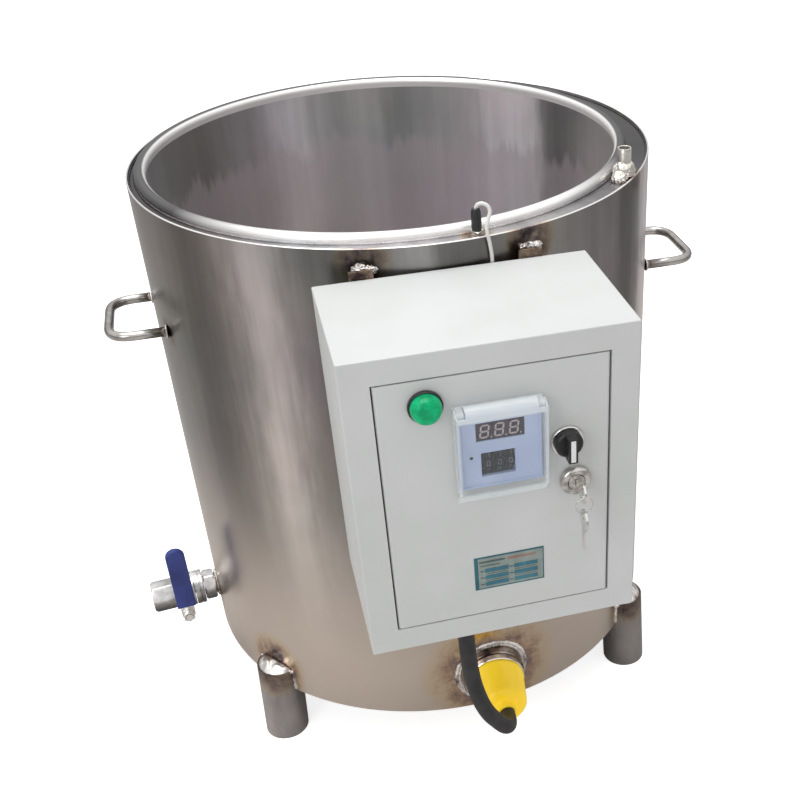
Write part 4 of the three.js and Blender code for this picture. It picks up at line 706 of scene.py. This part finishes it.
# Filling port: 14 mm tube stood on the closing ring with a heavy fillet of weld at its foot, which
# was laid in three lumps and is bored out with the tube.
port_steel = finish("port_steel", (0.8, 0.76, 0.7), 0.3, ((0.68, 0.64, 0.58), (0.92, 0.89, 0.85)), 70,
                    (400, 0.3), metallic=1.0, rough=(0.2, 0.42))
port_place = axis + Vector((207.24, -160.17, 0)) * mm
port = turned_form("port_tube", [(radius * mm, height * mm) for radius, height in (
    (5.5, 629), (7, 629), (7, 637.1), (10.3, 637.2), (9.6, 639), (8.2, 641), (7.3, 643), (7, 645),
    (7, 665.5), (6.7, 666), (5.8, 666), (5.5, 665.6))], port_steel, centre=port_place, segments=48)
stand_for(port, "vessel", "stainless_sheet", "fill_port")
out_way = (port_place - axis).normalized()
side_way = Vector((-out_way.y, out_way.x, 0))
port_turn = math.degrees(math.atan2(out_way.y, out_way.x))
port_lumps = ((0, 0, 641, (23, 28, 27)), (-4, 12, 638, (15, 19, 13)), (0, -13, 639, (17, 20, 15)))
for k, (out, along, height, size) in enumerate(port_lumps):
    place = port_place + (out_way * out + side_way * along + Vector((0, 0, height))) * mm
    lump = weld_lump("weld_port_" + str(k + 1), place, size, 71 + k, port_turn, port_steel, knobbly=0.5)
    cut_by(lump, cutter_rod(6.5 * mm, 620 * mm, 670 * mm, port_place, 48, port_steel))

# Probe: a steel gland in the closing ring, its rod down in the jacket, and a black rubber sleeve
# on top that grips the lead. The gland is chromed and its edges are broken.
chrome = finish("chrome_plate", (0.78, 0.77, 0.75), 0.12, ((0.66, 0.65, 0.63), (0.84, 0.83, 0.81)), 60,
                (900, 0.08), metallic=1.0, detail=3.0, rough=(0.07, 0.2))
black = finish("black_moulding", (0.012, 0.012, 0.013), 0.42, ((0.010, 0.010, 0.011), (0.022, 0.022, 0.023)),
               120, (1500, 0.18), rough=(0.34, 0.5))


def merged_copy(node_name):
    """A solid of the CAD with its doubled corners merged and its flat faces whole."""
    mesh = bmesh.new()
    mesh.from_mesh(nodes[node_name].data)
    bmesh.ops.remove_doubles(mesh, verts=mesh.verts, dist=2e-6)
    bmesh.ops.dissolve_limit(mesh, angle_limit=math.radians(0.6), verts=mesh.verts, edges=mesh.edges)
    return mesh


def edges_broken(node_name, mesh, body, slot, material, width, segments, angle):
    """The piece for a solid of the CAD, smooth, its edges over an angle broken by a width in mm."""
    for face in mesh.faces:
        face.smooth = True
    piece = made_piece(node_name + "_finished", mesh, material)
    if width:
        bevel = piece.modifiers.new("edges", "BEVEL")
        bevel.width, bevel.segments = width * mm, segments
        bevel.limit_method, bevel.angle_limit = "ANGLE", math.radians(angle)
    piece.modifiers.new("normals", "WEIGHTED_NORMAL").keep_sharp = True
    stand_for(settled(piece), body, slot, node_name)


def crisped(body, slot, material, *node_names, width=0.4, segments=2):
    """Solids of the CAD with their edges broken and their round faces smooth."""
    for node_name in node_names:
        edges_broken(node_name, merged_copy(node_name), body, slot, material, width, segments, 32)


crisped("vessel", "stainless_fittings", chrome, "probe_fitting", "probe_rod", width=0.3)
sleeve = turned_form("probe_sleeve_moulding", [(radius * mm, height * mm) for radius, height in (
    (0, 643.3), (4.2, 643.3), (4.6, 643.9), (4.7, 649), (4.7, 656), (4.4, 660), (3.6, 662.6), (2.6, 663.3),
    (2.05, 663.3), (2.05, 660.4), (0, 660.2))], black, centre=from_axis(*probe_foot, 0), segments=40,
    closed=False)
stand_for(sleeve, "vessel", "black_plastic", "probe_sleeve")

# Drain valve: a two-piece ball valve screwed on a 32 mm hexagon nipple, its bore 127 mm above the
# floor. Investment-cast barrel with turned rings and a 33 mm hexagon at its mouth, bead-blasted,
# with painted shade that darkens the cast parts towards their undersides.
cast_steel = finish("cast_steel", (0.62, 0.60, 0.58), 0.34, ((0.50, 0.485, 0.48), (0.95, 0.93, 0.92)), 55,
                    (420, 0.4), metallic=1.0, detail=5.0, rough=(0.22, 0.42))
tree, shader, clean = base_of(cast_steel)
height = add_node(tree, "ShaderNodeSeparateXYZ", object_place(tree)).outputs["Z"]
# painted shade: the cast parts darken below 146 mm, to 0.16 of their tone at 112 mm
painted_shade_below = ranged(tree, height, 112 * mm, 146 * mm, 0.16, 1.0, interpolation_type="SMOOTHSTEP")
feed(shader, Base_Color=vector_calc(tree, "SCALE", clean, Scale=painted_shade_below))
drain_middle = from_axis(0, 0, 127)


def lying(name, place, facing, profile, material, segments=72, turn=0.0, crease=35):
    """A turned form laid with its axis along facing; profile points are in mm from the place."""
    form = turned_form(name, [(r * mm, z * mm, *(w * mm for w in flats)) for r, z, *flats in profile],
                       material, segments=segments, crease=crease)
    laid = Vector(facing).to_track_quat("Z", "Y").to_matrix().to_4x4()
    form.data.transform(Matrix.Translation(place) @ laid @ Matrix.Rotation(math.radians(turn), 4, "Z"))
    return form


stand_for(lying("nipple_hexagon", drain_middle, drain_way, [
    (9.6, 275.4), (12.4, 275.4), (12.4, 278.4), (16.4, 278.4, 32), (17.6, 279.2, 32), (18.5, 280.6, 32),
    (18.5, 289.8, 32), (17.6, 291.2, 32), (16.4, 292.2, 32), (9.6, 292.2)], cast_steel, turn=8),
    "vessel", "stainless_fittings", "drain_nipple")
stand_for(lying("valve_collar", drain_middle, drain_way, [
    (12.6, 292.6), (20.2, 292.6), (21, 293.4), (21, 296.6), (20.3, 297), (20.3, 297.6), (21, 298),
    (21, 303.2), (20.6, 303.6), (12.6, 303.6)], cast_steel, segments=96), "vessel", "steel_dull", "valve_end")
stand_for(lying("valve_barrel", drain_middle, drain_way, [
    (12.6, 304.1), (20.6, 304.1), (21, 304.5), (21, 309.2), (20.6, 309.6), (21, 310), (21, 315),
    (20.6, 315.4), (21, 315.8), (21, 321.4), (20.6, 321.8), (21, 322.2), (21, 326.6), (20.4, 327.6),
    (18.2, 328.6, 33), (19.05, 330, 33), (19.05, 351.8, 33), (18, 353.3, 33), (16.7, 354.6, 33),
    (13.6, 354.6), (12.6, 353.4), (12.6, 333.5), (10.2, 333.3), (10.2, 305.9), (12.6, 305.9)],
    cast_steel, segments=96, turn=8),
    "vessel", "steel_dull", "valve_body")
stem_way = Vector((-drain_way.y, drain_way.x, 0))
ball_middle = drain_middle + drain_way * 317.08 * mm
stand_for(lying("valve_stem_boss", ball_middle, stem_way, [
    (5.4, 18), (11.4, 18), (11, 20.6), (9.5, 21.6), (9.5, 29.4), (9, 30), (5.4, 30)],
    cast_steel, segments=48), "vessel", "steel_dull")
crisped("vessel", "stainless_fittings", chrome, "packing_nut", width=0.7)
nipple_foot, nipple_seam = drain_middle + drain_way * (shell_reach + 0.6) * mm, 14.6 * mm
weld_bead("weld_drain", [[nipple_foot + stem_way * nipple_seam * math.cos(a)
                          + Vector((0, 0, nipple_seam * math.sin(a)))
                          for a in (2 * math.pi * k / 32 for k in range(33))]], 4.4 * mm, 75)

# Ball, seats and stem inside the valve, and the pipe that leads to it from the floor of the pot:
# polished ball, white sealing rings, bright stem, plain pipe.
sealing = finish("sealing_white", (0.80, 0.79, 0.77), 0.5, ((0.76, 0.75, 0.73), (0.84, 0.83, 0.81)), 90,
                 (600, 0.1))
finished(sealing, "ball_seat_inner", "ball_seat_outer")
finished(chrome, "valve_ball", "valve_stem")
finished(dull_steel, "drain_pipe")

# Lever: 3 mm steel strip, 16 mm wide, on the flats of the stem under a 13 mm nut, its upper part
# dipped in dark blue vinyl, plain all over.
crisped("valve_handle", "stainless_fittings", chrome, "valve_lever", width=0.5)
crisped("valve_handle", "stainless_fittings", chrome, "lever_nut", width=0.7)
vinyl = finish("lever_vinyl", (0.018, 0.032, 0.19), 0.36, ((0.014, 0.026, 0.16), (0.030, 0.050, 0.26)), 26,
               (300, 0.2), detail=3.0, rough=(0.28, 0.46))
crisped("valve_handle", "lever_blue", vinyl, "lever_grip", width=2.8, segments=4)

# Immersion heater: socket of 72 mm pipe welded through the shell, screwed plug with a bright
# flange, yellow plastic cap over its terminals with the cable through a boss in its end.
heater_middle = from_axis(20, 0, 118)
front_way = (0, -1, 0)
tinted_steel = finish("tinted_steel", (0.3, 0.25, 0.22), 0.36, ((0.045, 0.030, 0.030), (0.55, 0.50, 0.47)),
                      48, (300, 0.35), metallic=1.0, detail=6.0, span=(0.36, 0.68),
                      middle=[(0.5, (0.26, 0.19, 0.14))], rough=(0.24, 0.5))
stand_for(lying("socket_ring", heater_middle, front_way, [
    (27.5, 262.4), (36, 262.4), (36, 284), (35.2, 285), (28.4, 285), (27.5, 284.2)],
    tinted_steel, segments=96), "vessel", "steel_dull", "heater_socket")
socket_seam = []
for reach in (37.6, 40.6):
    ring = [heater_middle + Vector((reach * math.cos(a), 0, reach * math.sin(a))) * mm
            for a in (math.radians(10 * k) for k in range(37))]
    for place in ring:
        place.y = axis.y - math.sqrt((shell_radius + 0.2 * mm) ** 2 - (place.x - axis.x) ** 2)
    socket_seam.append(ring)
weld_bead("weld_socket", socket_seam, 6 * mm, 77)
stand_for(lying("plug_flange", heater_middle, front_way, [
    (0, 281), (24, 281), (24, 285.4), (33.2, 285.4), (34, 286.2), (34, 292.4), (33.2, 293.2), (27, 293.2),
    (27, 292.8), (0, 292.8)], chrome, segments=96), "vessel", "stainless_fittings", "heater_plug")
finished(dull_steel, "heater_element_left", "heater_element_right")
# painted light: the cap glows faintly yellow to stay bright in the shade under the box
cap_yellow = finish("cap_yellow", (0.94, 0.62, 0.012), 0.3, ((0.90, 0.57, 0.010), (0.97, 0.68, 0.020)), 18,
                    (500, 0.12), detail=2.0, rough=(0.24, 0.4), Emission_Color=(1.0, 0.72, 0.04, 1),
                    Emission_Strength=0.29)
stand_for(lying("terminal_cap", heater_middle, front_way, [
    (29, 293.8), (32, 293.8), (32.3, 294.6), (32.3, 296.6), (31.7, 297.4), (26.4, 329.5), (25.6, 332.6),
    (23.6, 335), (20.6, 336.4), (17, 336.6), (13.4, 337), (12.3, 338.2), (12, 340), (11.9, 343.6),
    (11.2, 344.5), (8.9, 344.6), (8.9, 336), (19, 333.4), (22.6, 330)], cap_yellow, segments=128),
    "vessel", "cap_yellow", "heater_cap")

# Brackets: two strips of 22 x 2.5 mm behind the box, their heads bent in and welded to the shell.
# Lumps of weld and soot show where their heads stand above the box.
crisped("vessel", "steel_dull", tinted_steel, "box_bracket_left", "box_bracket_right")
for seed, (side, name) in enumerate(((-77, "left"), (77, "right"))):
    for k, (step, size) in enumerate(((-3, (15, 8, 9)), (6, (12, 7, 8)))):
        across = side + 4 + step
        head = from_axis(across, -math.sqrt((shell_reach + 1.4) ** 2 - across ** 2), 622 - k)
        weld_lump("weld_bracket_" + name + "_" + str(k + 1), head, size, 80 + 3 * seed + k,
                  math.degrees(math.asin(side / (shell_reach + 1))))

# Control box: 250 x 300 x 150 mm folded from 1.5 mm sheet, powder coated light grey, with a flush
# door on two hidden pins. The coat is smooth with a faint orange peel and rounds every fold.
box_paint = finish("box_paint", (0.62, 0.64, 0.63), 0.42, ((0.585, 0.60, 0.585), (0.635, 0.645, 0.64)), 7,
                   (650, 0.10), detail=3.0, rough=(0.36, 0.46))
box_middle, box_front, box_foot = 4, 428, 317


def on_box(x, y, z):
    """A place in mm from the bottom middle of the box front: to the right, back and up."""
    return from_axis(x + box_middle, y - box_front, z + box_foot)


def folded(node_name, body, outer):
    """A painted sheet piece of the CAD with its outer folds rounded and its cut edges broken."""
    mesh = merged_copy(node_name)
    low, high = ([pick(v.co[i] for v in mesh.verts) for i in range(3)] for pick in (min, max))

    def on_faces(vert):
        return {(i, side) for i in range(3) for side, limit in enumerate((low[i], high[i]))
                if abs(vert.co[i] - limit) < 1e-5}
    folds = [e for e in mesh.edges if len(on_faces(e.verts[0]) & on_faces(e.verts[1])) == 2]
    bmesh.ops.bevel(mesh, geom=folds, offset=outer * mm, segments=4, profile=0.5, affect="EDGES")
    edges_broken(node_name, mesh, body, "box_paint", box_paint, 0.3, 1, 40)


folded("box_body", "vessel", 1.3)
folded("box_door", "door", 0.8)
crisped("vessel", "stainless_fittings", chrome, "hinge_pin_upper", "hinge_pin_lower", width=0.25)

# Gear in the box: zinc-plated mounting plate with its rail on four spacers, a grey contactor and a
# terminal block snapped on the rail, each with rows of slotted screws. Nylon glands in the floor.
zinc = finish("zinc_plate", (0.62, 0.63, 0.64), 0.38, ((0.50, 0.52, 0.55), (0.72, 0.72, 0.71)), 30,
              (240, 0.15), metallic=0.9, detail=6.0, rough=(0.28, 0.46))
gear_grey = finish("gear_grey", (0.12, 0.125, 0.13), 0.5, ((0.105, 0.11, 0.115), (0.15, 0.155, 0.16)), 80,
                   (1200, 0.15), rough=(0.42, 0.56))
crisped("vessel", "zinc_sheet", zinc, "mounting_plate", width=0.3, segments=1)
crisped("vessel", "gear_grey", gear_grey, "contactor", "terminal_block", width=0.6)
crisped("vessel", "black_plastic", black, "cable_gland", "lead_gland", width=0.5)

screw_tree, taken, last = growing_tree("slotted_screws", Head="Float", Steel="Material", Slot="Material")
head = add_node(screw_tree, "GeometryNodeMeshCylinder", Vertices=24, Radius=0.5, Depth=0.5)
groove = add_node(screw_tree, "GeometryNodeMeshCube", (0.92, 0.16, 0.52))
together = add_node(screw_tree, "GeometryNodeJoinGeometry")
for form, metal in ((head, "Steel"), (groove, "Slot")):
    feed(together, add_node(screw_tree, "GeometryNodeSetMaterial", form, Material=taken[metal]))
upright = add_node(screw_tree, "FunctionNodeEulerToRotation", (math.pi / 2, 0.5, 0))
lay = add_node(screw_tree, "GeometryNodeInstanceOnPoints", taken["Geometry"], Instance=together,
               Rotation=upright, Scale=taken["Head"])
feed(last, add_node(screw_tree, "GeometryNodeRealizeInstances", lay))
for name, columns, front, rows in (("contactor_screws", (-64.5, -48, -31.5), 78.4, (64, 126)),
                                   ("terminal_screws", (8, 32, 56), 98.4, (80, 110))):
    heads = grown(name, screw_tree, [on_box(x, front, z) for x in columns for z in rows], [],
                  Head=5.2 * mm, Steel=zinc, Slot=black)
    stand_for(heads, "vessel", "zinc_sheet")

# Pilot lamp: 29 mm black rim clamped in the door by a nut behind it, and a deep green lens with
# rings moulded inside it.
lamp_middle = on_box(-58, 0, 252.5)
lens_depth, lens_ripple = 10 * mm, 4200
stand_for(lying("lamp_rim", lamp_middle, front_way, [
    (0, -38), (11, -38), (11, -5.8), (14, -5.8, 25), (14, -1.8, 25), (11, -1.8), (11, 0.3), (14.4, 0.3),
    (14.7, 0.8), (14.7, 3.4), (14.2, 4.1), (13.6, 4.3), (13.5, 2.3), (0, 2.3)], black),
    "door", "black_plastic", "lamp_housing")
lens_green = finish("lens_green", (0.0, 0.42, 0.16), 0.3, ((0.0, 0.33, 0.125), (0.0, 0.52, 0.21)), 130,
                    detail=2.0, Specular_IOR_Level=0.25)
tree, shader, clean = base_of(lens_green)
lens_middle = lamp_middle + Vector(front_way) * lens_depth
away = vector_calc(tree, "DISTANCE", object_place(tree), lens_middle).outputs["Value"]
rings = calc(tree, "SINE", calc(tree, "MULTIPLY", away, lens_ripple))
feed(shader, Normal=add_node(tree, "ShaderNodeBump", Height=rings, Strength=0.16, Distance=0.0004))
stand_for(lying("lamp_lens_moulding", lamp_middle, front_way, [
    (0, 2.6), (13.2, 2.6), (13.2, 6.6), (12.9, 7.8), (12.2, 9.4), (11.4, 11.6), (10.2, 13.2), (8.2, 14.3),
    (5.4, 14.9), (0, 15)], lens_green, segments=96, crease=60), "door", "lens_green", "lamp_lens")

# Temperature controller: 72 mm square moulding with a pale blue face, dark display window with
# three unlit seven-segment digits, an indicator, and a window with three thumbwheels.
face_blue = finish("face_blue", (0.43, 0.51, 0.72), 0.45, ((0.39, 0.47, 0.68), (0.48, 0.56, 0.76)), 12,
                   (1400, 0.1), detail=3.0, rough=(0.38, 0.5))
crisped("door", "controller_shell", face_blue, "controller_case", width=0.5)
dark_window = finish("dark_window", (0.035, 0.025, 0.035), 0.22,
                     ((0.030, 0.020, 0.030), (0.055, 0.040, 0.055)), 60, (1500, 0.04),
                     detail=2.0, Specular_IOR_Level=0.2)
pale_segment = finish("pale_segment", (0.42, 0.36, 0.38), 0.4, ((0.38, 0.31, 0.33), (0.48, 0.41, 0.43)), 200,
                      (1500, 0.08))
still = Matrix.Identity(4)


def flat_cuts(name, groups, front, thick, material, body, slot):
    """Flat shapes that face forwards. Each group is a movement and its outlines, in mm across and
    up on the box; the front of them all lies at one distance behind the door's face."""
    mesh = bmesh.new()
    for movement, outlines in groups:
        for outline in outlines:
            near, far = ([mesh.verts.new(movement @ on_box(x, y, z)) for x, z in outline]
                         for y in (front, front + thick))
            mesh.faces.new(near)
            mesh.faces.new(list(reversed(far)))
            for k in range(len(outline)):
                mesh.faces.new((near[k - 1], far[k - 1], far[k], near[k]))
    bmesh.ops.recalc_face_normals(mesh, faces=mesh.faces)
    stand_for(made_piece(name, mesh, material), body, slot)


def oblong(x, z, wide, tall):
    return [(x + u * wide / 2, z + v * tall / 2) for u, v in ((-1, -1), (1, -1), (1, 1), (-1, 1))]


def disc(x, z, radius):
    return [(x + radius * math.cos(a), z + radius * math.sin(a))
            for a in (math.pi * k / 12 for k in range(24))]


def digit(x, z, wide, tall, bar, lit, slant=0.12):
    """The bars of a seven-segment digit as pointed outlines; lit names them from a to g."""
    ends = {"a": ((-1, 1), (1, 1)), "b": ((1, 1), (1, 0)), "c": ((1, 0), (1, -1)), "d": ((-1, -1), (1, -1)),
            "e": ((-1, 0), (-1, -1)), "f": ((-1, 1), (-1, 0)), "g": ((-1, 0), (1, 0))}
    outlines = []
    for name in lit:
        a, b = (Vector((u * (wide - bar) / 2, v * (tall - bar) / 2)) for u, v in ends[name])
        run = (b - a).normalized()
        a, b = a + run * bar * 0.14, b - run * bar * 0.14
        point, side = run * bar * 0.44, Vector((-run.y, run.x)) * bar * 0.44
        corners = [a, a + point + side, b - point + side, b, b - point - side, a + point - side]
        outlines.append([(x + c.x + c.y * slant, z + c.y) for c in corners])
    return outlines


flat_cuts("display_window", [(still, [oblong(1.7, 222.5, 41.3, 17.4)])], -4.7, 0.4, dark_window,
          "door", "black_plastic")
digits = [digit(x, 222.3, 8.4, 13, 1.7, "abcdefg") + [disc(x + 5.6, 216.2, 0.8)] for x in (-11.4, 1.2, 13.8)]
flat_cuts("display_digits", [(still, outlines) for outlines in digits], -4.8, 0.1, pale_segment,
          "door", "controller_shell")
flat_cuts("indicator", [(still, [disc(-23.9, 199, 1.5)])], -6.1, 0.3, dark_window, "door", "black_plastic")

# Thumbwheels: three black wheels of 27 mm on one axle, a toothed rim at the left of each and ten
# digits moulded in pale plastic round its drum.
axle_back, axle_up, drum_radius = 7.8, 190.5, 12.95
axle = on_box(0, axle_back, axle_up)
wheel_black = finish("wheel_black", (0.008, 0.008, 0.010), 0.6,
                     ((0.006, 0.006, 0.008), (0.016, 0.016, 0.019)), 120, (1500, 0.18),
                     rough=(0.52, 0.68), Specular_IOR_Level=0.12)
pale_digit = finish("pale_digit", (0.13, 0.15, 0.20), 0.5, ((0.10, 0.12, 0.17), (0.17, 0.19, 0.25)), 200,
                    (1500, 0.08))
lit_bars = ("abcdef", "bc", "abged", "abgcd", "fgbc", "afgcd", "afgedc", "abc", "abcdefg", "abcfgd")
for name, middle in (("hundreds", -10.5), ("tens", -0.9), ("units", 8.7)):
    crisped("wheel_" + name, "black_plastic", wheel_black, "thumbwheel_" + name, width=0.15, segments=1)
    rows = []
    for k, lit in enumerate(lit_bars):
        turn = Matrix.Rotation(math.radians(-36 * k), 4, "X")
        rows.append((Matrix.Translation(axle) @ turn @ Matrix.Translation(-axle),
                     digit(middle + 1.2, axle_up, 3.2, 5.4, 0.75, lit, slant=0)))
    flat_cuts("wheel_digits_" + name, rows, axle_back - drum_radius, 0.2, pale_digit, "wheel_" + name,
              "controller_shell")

# Splash cover: clear moulding 1.5 mm thick over the controller, a fixed frame with two ears and a
# lid that lifts on them. The frame is milky all over, and the lid is painted denser towards its
# edges, a painted highlight of the walls seen edge on.
clear_plastic = finish("clear_plastic", (0.86, 0.91, 0.93), 0.08, ((0.84, 0.90, 0.92), (0.92, 0.95, 0.96)),
                       20, (700, 0.05), rough=(0.05, 0.14), IOR=1.49)
lid_corners = [v.co for v in nodes["controller_cover"].data.vertices]
lid_low, lid_high = (Vector([pick(c[i] for c in lid_corners) for i in range(3)]) for pick in (min, max))
lid_half = (lid_high.x - lid_low.x) / 2
tree, shader, clean = base_of(clear_plastic)
from_middle = vector_calc(tree, "SUBTRACT", object_place(tree), (lid_low + lid_high) / 2)
parts = add_node(tree, "ShaderNodeSeparateXYZ", vector_calc(tree, "ABSOLUTE", from_middle))
far_out = calc(tree, "MAXIMUM", parts.outputs["X"], parts.outputs["Z"])
# painted highlight: the lid grows denser and paler within 3 mm of its outline
feed(shader, Alpha=ranged(tree, far_out, lid_half - 3 * mm, lid_half - 1 * mm, 0.05, 0.5))
milky = finish("milky_edge", (0.84, 0.88, 0.90), 0.25, ((0.80, 0.85, 0.88), (0.92, 0.94, 0.95)), 25,
               (700, 0.08), rough=(0.18, 0.32), Alpha=0.6, IOR=1.49)
crisped("door", "clear_cover", milky, "cover_frame", width=0.3)
crisped("lid", "clear_cover", clear_plastic, "controller_cover", width=0.35)

# Selector switch: thin bright rim, black knob with a raised grip and a white line let into it, and
# a square contact block behind the door.
crisped("door", "stainless_fittings", chrome, "selector_housing", width=0.5)
crisped("selector", "black_plastic", black, "selector_knob", width=0.9, segments=3)
white_mark = finish("white_mark", (0.82, 0.82, 0.80), 0.45, ((0.78, 0.78, 0.76), (0.86, 0.86, 0.85)), 150,
                    (1500, 0.1))
flat_cuts("knob_line", [(still, [oblong(60.5, 197.5, 4.2, 21)])], -20.15, 0.3, white_mark,
          "selector", "seat_white")

# Door lock: chromed cam lock with a key in its plug, a wire ring through the key and a spare key
# that hangs on the ring.
worn_chrome = finish("worn_chrome", (0.62, 0.60, 0.57), 0.24, ((0.40, 0.38, 0.36), (0.78, 0.76, 0.74)), 130,
                     (700, 0.3), metallic=1.0, detail=5.0, span=(0.38, 0.62), rough=(0.16, 0.34))
stand_for(lying("lock_flange", on_box(67.5, 0, 156.5), front_way, [
    (7.8, -14), (11, -14), (11, -5.8), (14, -5.8, 25), (14, -1.8, 25), (11, -1.8), (11, 0.3), (13.5, 0.3),
    (14, 0.8), (14, 4.4), (13.2, 5.6), (11.6, 6.8), (11, 7), (8.4, 7), (7.8, 6.4)], worn_chrome),
    "door", "stainless_fittings", "lock_barrel")
crisped("lock", "stainless_fittings", worn_chrome, "lock_plug", width=0.25)
crisped("lock", "stainless_fittings", chrome, "key", width=0.25)
crisped("lock", "steel_dull", zinc, "lock_cam", width=0.3)
crisped("ring", "stainless_fittings", chrome, "key_ring", width=0)
crisped("hanging_key", "stainless_fittings", chrome, "spare_key", width=0.25)

# Nameplate: thin plate of 64 x 36 mm glued to the door, printed with a teal edge, a pale field and
# plain bands of blue, dark grey and dull red.
field_x, field_z, lines = 7.1, 71, (2.6, -5, -12.4)
prints = (
    ("plate_teal", (0.012, 0.10, 0.13), (0.02, 0.14, 0.18), 0.0, [oblong(5.9, field_z, 64.4, 36.4)]),
    ("plate_field", (0.22, 0.27, 0.25), (0.30, 0.35, 0.32), 0.12, [oblong(field_x, field_z, 60, 33.6)]),
    ("plate_blue", (0.03, 0.14, 0.19), (0.05, 0.20, 0.26), 0.2,
     [oblong(field_x + x, field_z + z, 22, 4.6) for x in (-13, 14) for z in lines]),
    ("plate_dark", (0.07, 0.10, 0.10), (0.12, 0.15, 0.14), 0.2,
     [oblong(-10, 83.6, 24, 2.2), oblong(-12, 79.4, 18, 1.2)]
     + [oblong(field_x + x, field_z + z, 3.4, 1.4) for x in (-26.4, 0.4) for z in lines]
     + [oblong(field_x + x, field_z + z, 20, 0.8) for x in (-13, 14) for z in (-1.2, -8.7)]),
    ("plate_red", (0.27, 0.15, 0.12), (0.32, 0.21, 0.17), 0.2, [oblong(17.5, 83.4, 26, 2.8)]))
for name, color, other, lie, outlines in prints:
    ink = finish(name, color, 0.4, (color, other), 70, (1200, 0.06))
    flat_cuts(name, [(still, outlines)], -0.45 - lie, 0.43 + lie, ink, "door", "gear_grey")

# Floor, backdrop and light: a white sweep under soft light from above and the left. The floor is
# white to the camera and a duller warm grey in reflections.
floor_white, shader = new_material("floor_white", (0.86, 0.86, 0.86), 0.9)
tree = floor_white.node_tree
path = add_node(tree, "ShaderNodeLightPath")
feed(shader, Base_Color=blended(tree, path.outputs["Is Glossy Ray"], (0.86, 0.86, 0.86), (0.62, 0.59, 0.57)))
glowing = add_node(tree, "ShaderNodeAddShader", shader, add_node(tree, "ShaderNodeEmission", Strength=0.75))
feed(tree.nodes["Material Output"],
     add_node(tree, "ShaderNodeMixShader", path.outputs["Is Camera Ray"], shader, glowing))
floor_data = bpy.data.meshes.new("floor")
floor_data.from_pydata([(x, y, 0) for x, y in oblong(0, 0, 12, 12)], [], [(0, 1, 2, 3)])
floor_data.materials.append(floor_white)
floor = linked("floor", floor_data)

world = bpy.data.worlds.new("studio")
bpy.context.scene.world = world
world.use_nodes = True
tree = world.node_tree
path = add_node(tree, "ShaderNodeLightPath")
direction = add_node(tree, "ShaderNodeTexCoord").outputs["Generated"]
height = add_node(tree, "ShaderNodeSeparateXYZ", direction).outputs["Z"]
greys = ((0.0, 0.5), (0.06, 0.24), (0.22, 0.42), (0.38, 0.95), (1.0, 1.1))
sky = ramp_node(tree, [(share, (grey, grey, grey)) for share, grey in greys], height)
plain = ranged(tree, path.outputs["Is Camera Ray"], 0, 1, 0.62, 1.0)
feed(tree.nodes["Background"], blended(tree, path.outputs["Is Glossy Ray"], plain, sky))


def soft_lamp(name, place, target, size, power):
    lamp_data = bpy.data.lights.new(name, "AREA")
    lamp_data.shape = "RECTANGLE"
    lamp_data.size, lamp_data.size_y = size
    lamp_data.energy = power
    lamp = bpy.data.objects.new(name, lamp_data)
    lamp.location = place
    lamp.rotation_euler = (Vector(target) - Vector(place)).to_track_quat("-Z", "Y").to_euler()
    bpy.context.scene.collection.objects.link(lamp)


soft_lamp("overhead", (-0.3, 0.1, 2.6), (0, 0, 0.4), (1.6, 1.6), 36)
soft_lamp("left_front", (-1.7, -1.9, 1.7), (0, 0, 0.35), (0.9, 1.4), 12)

bpy.context.scene.view_settings.view_transform = "Standard"
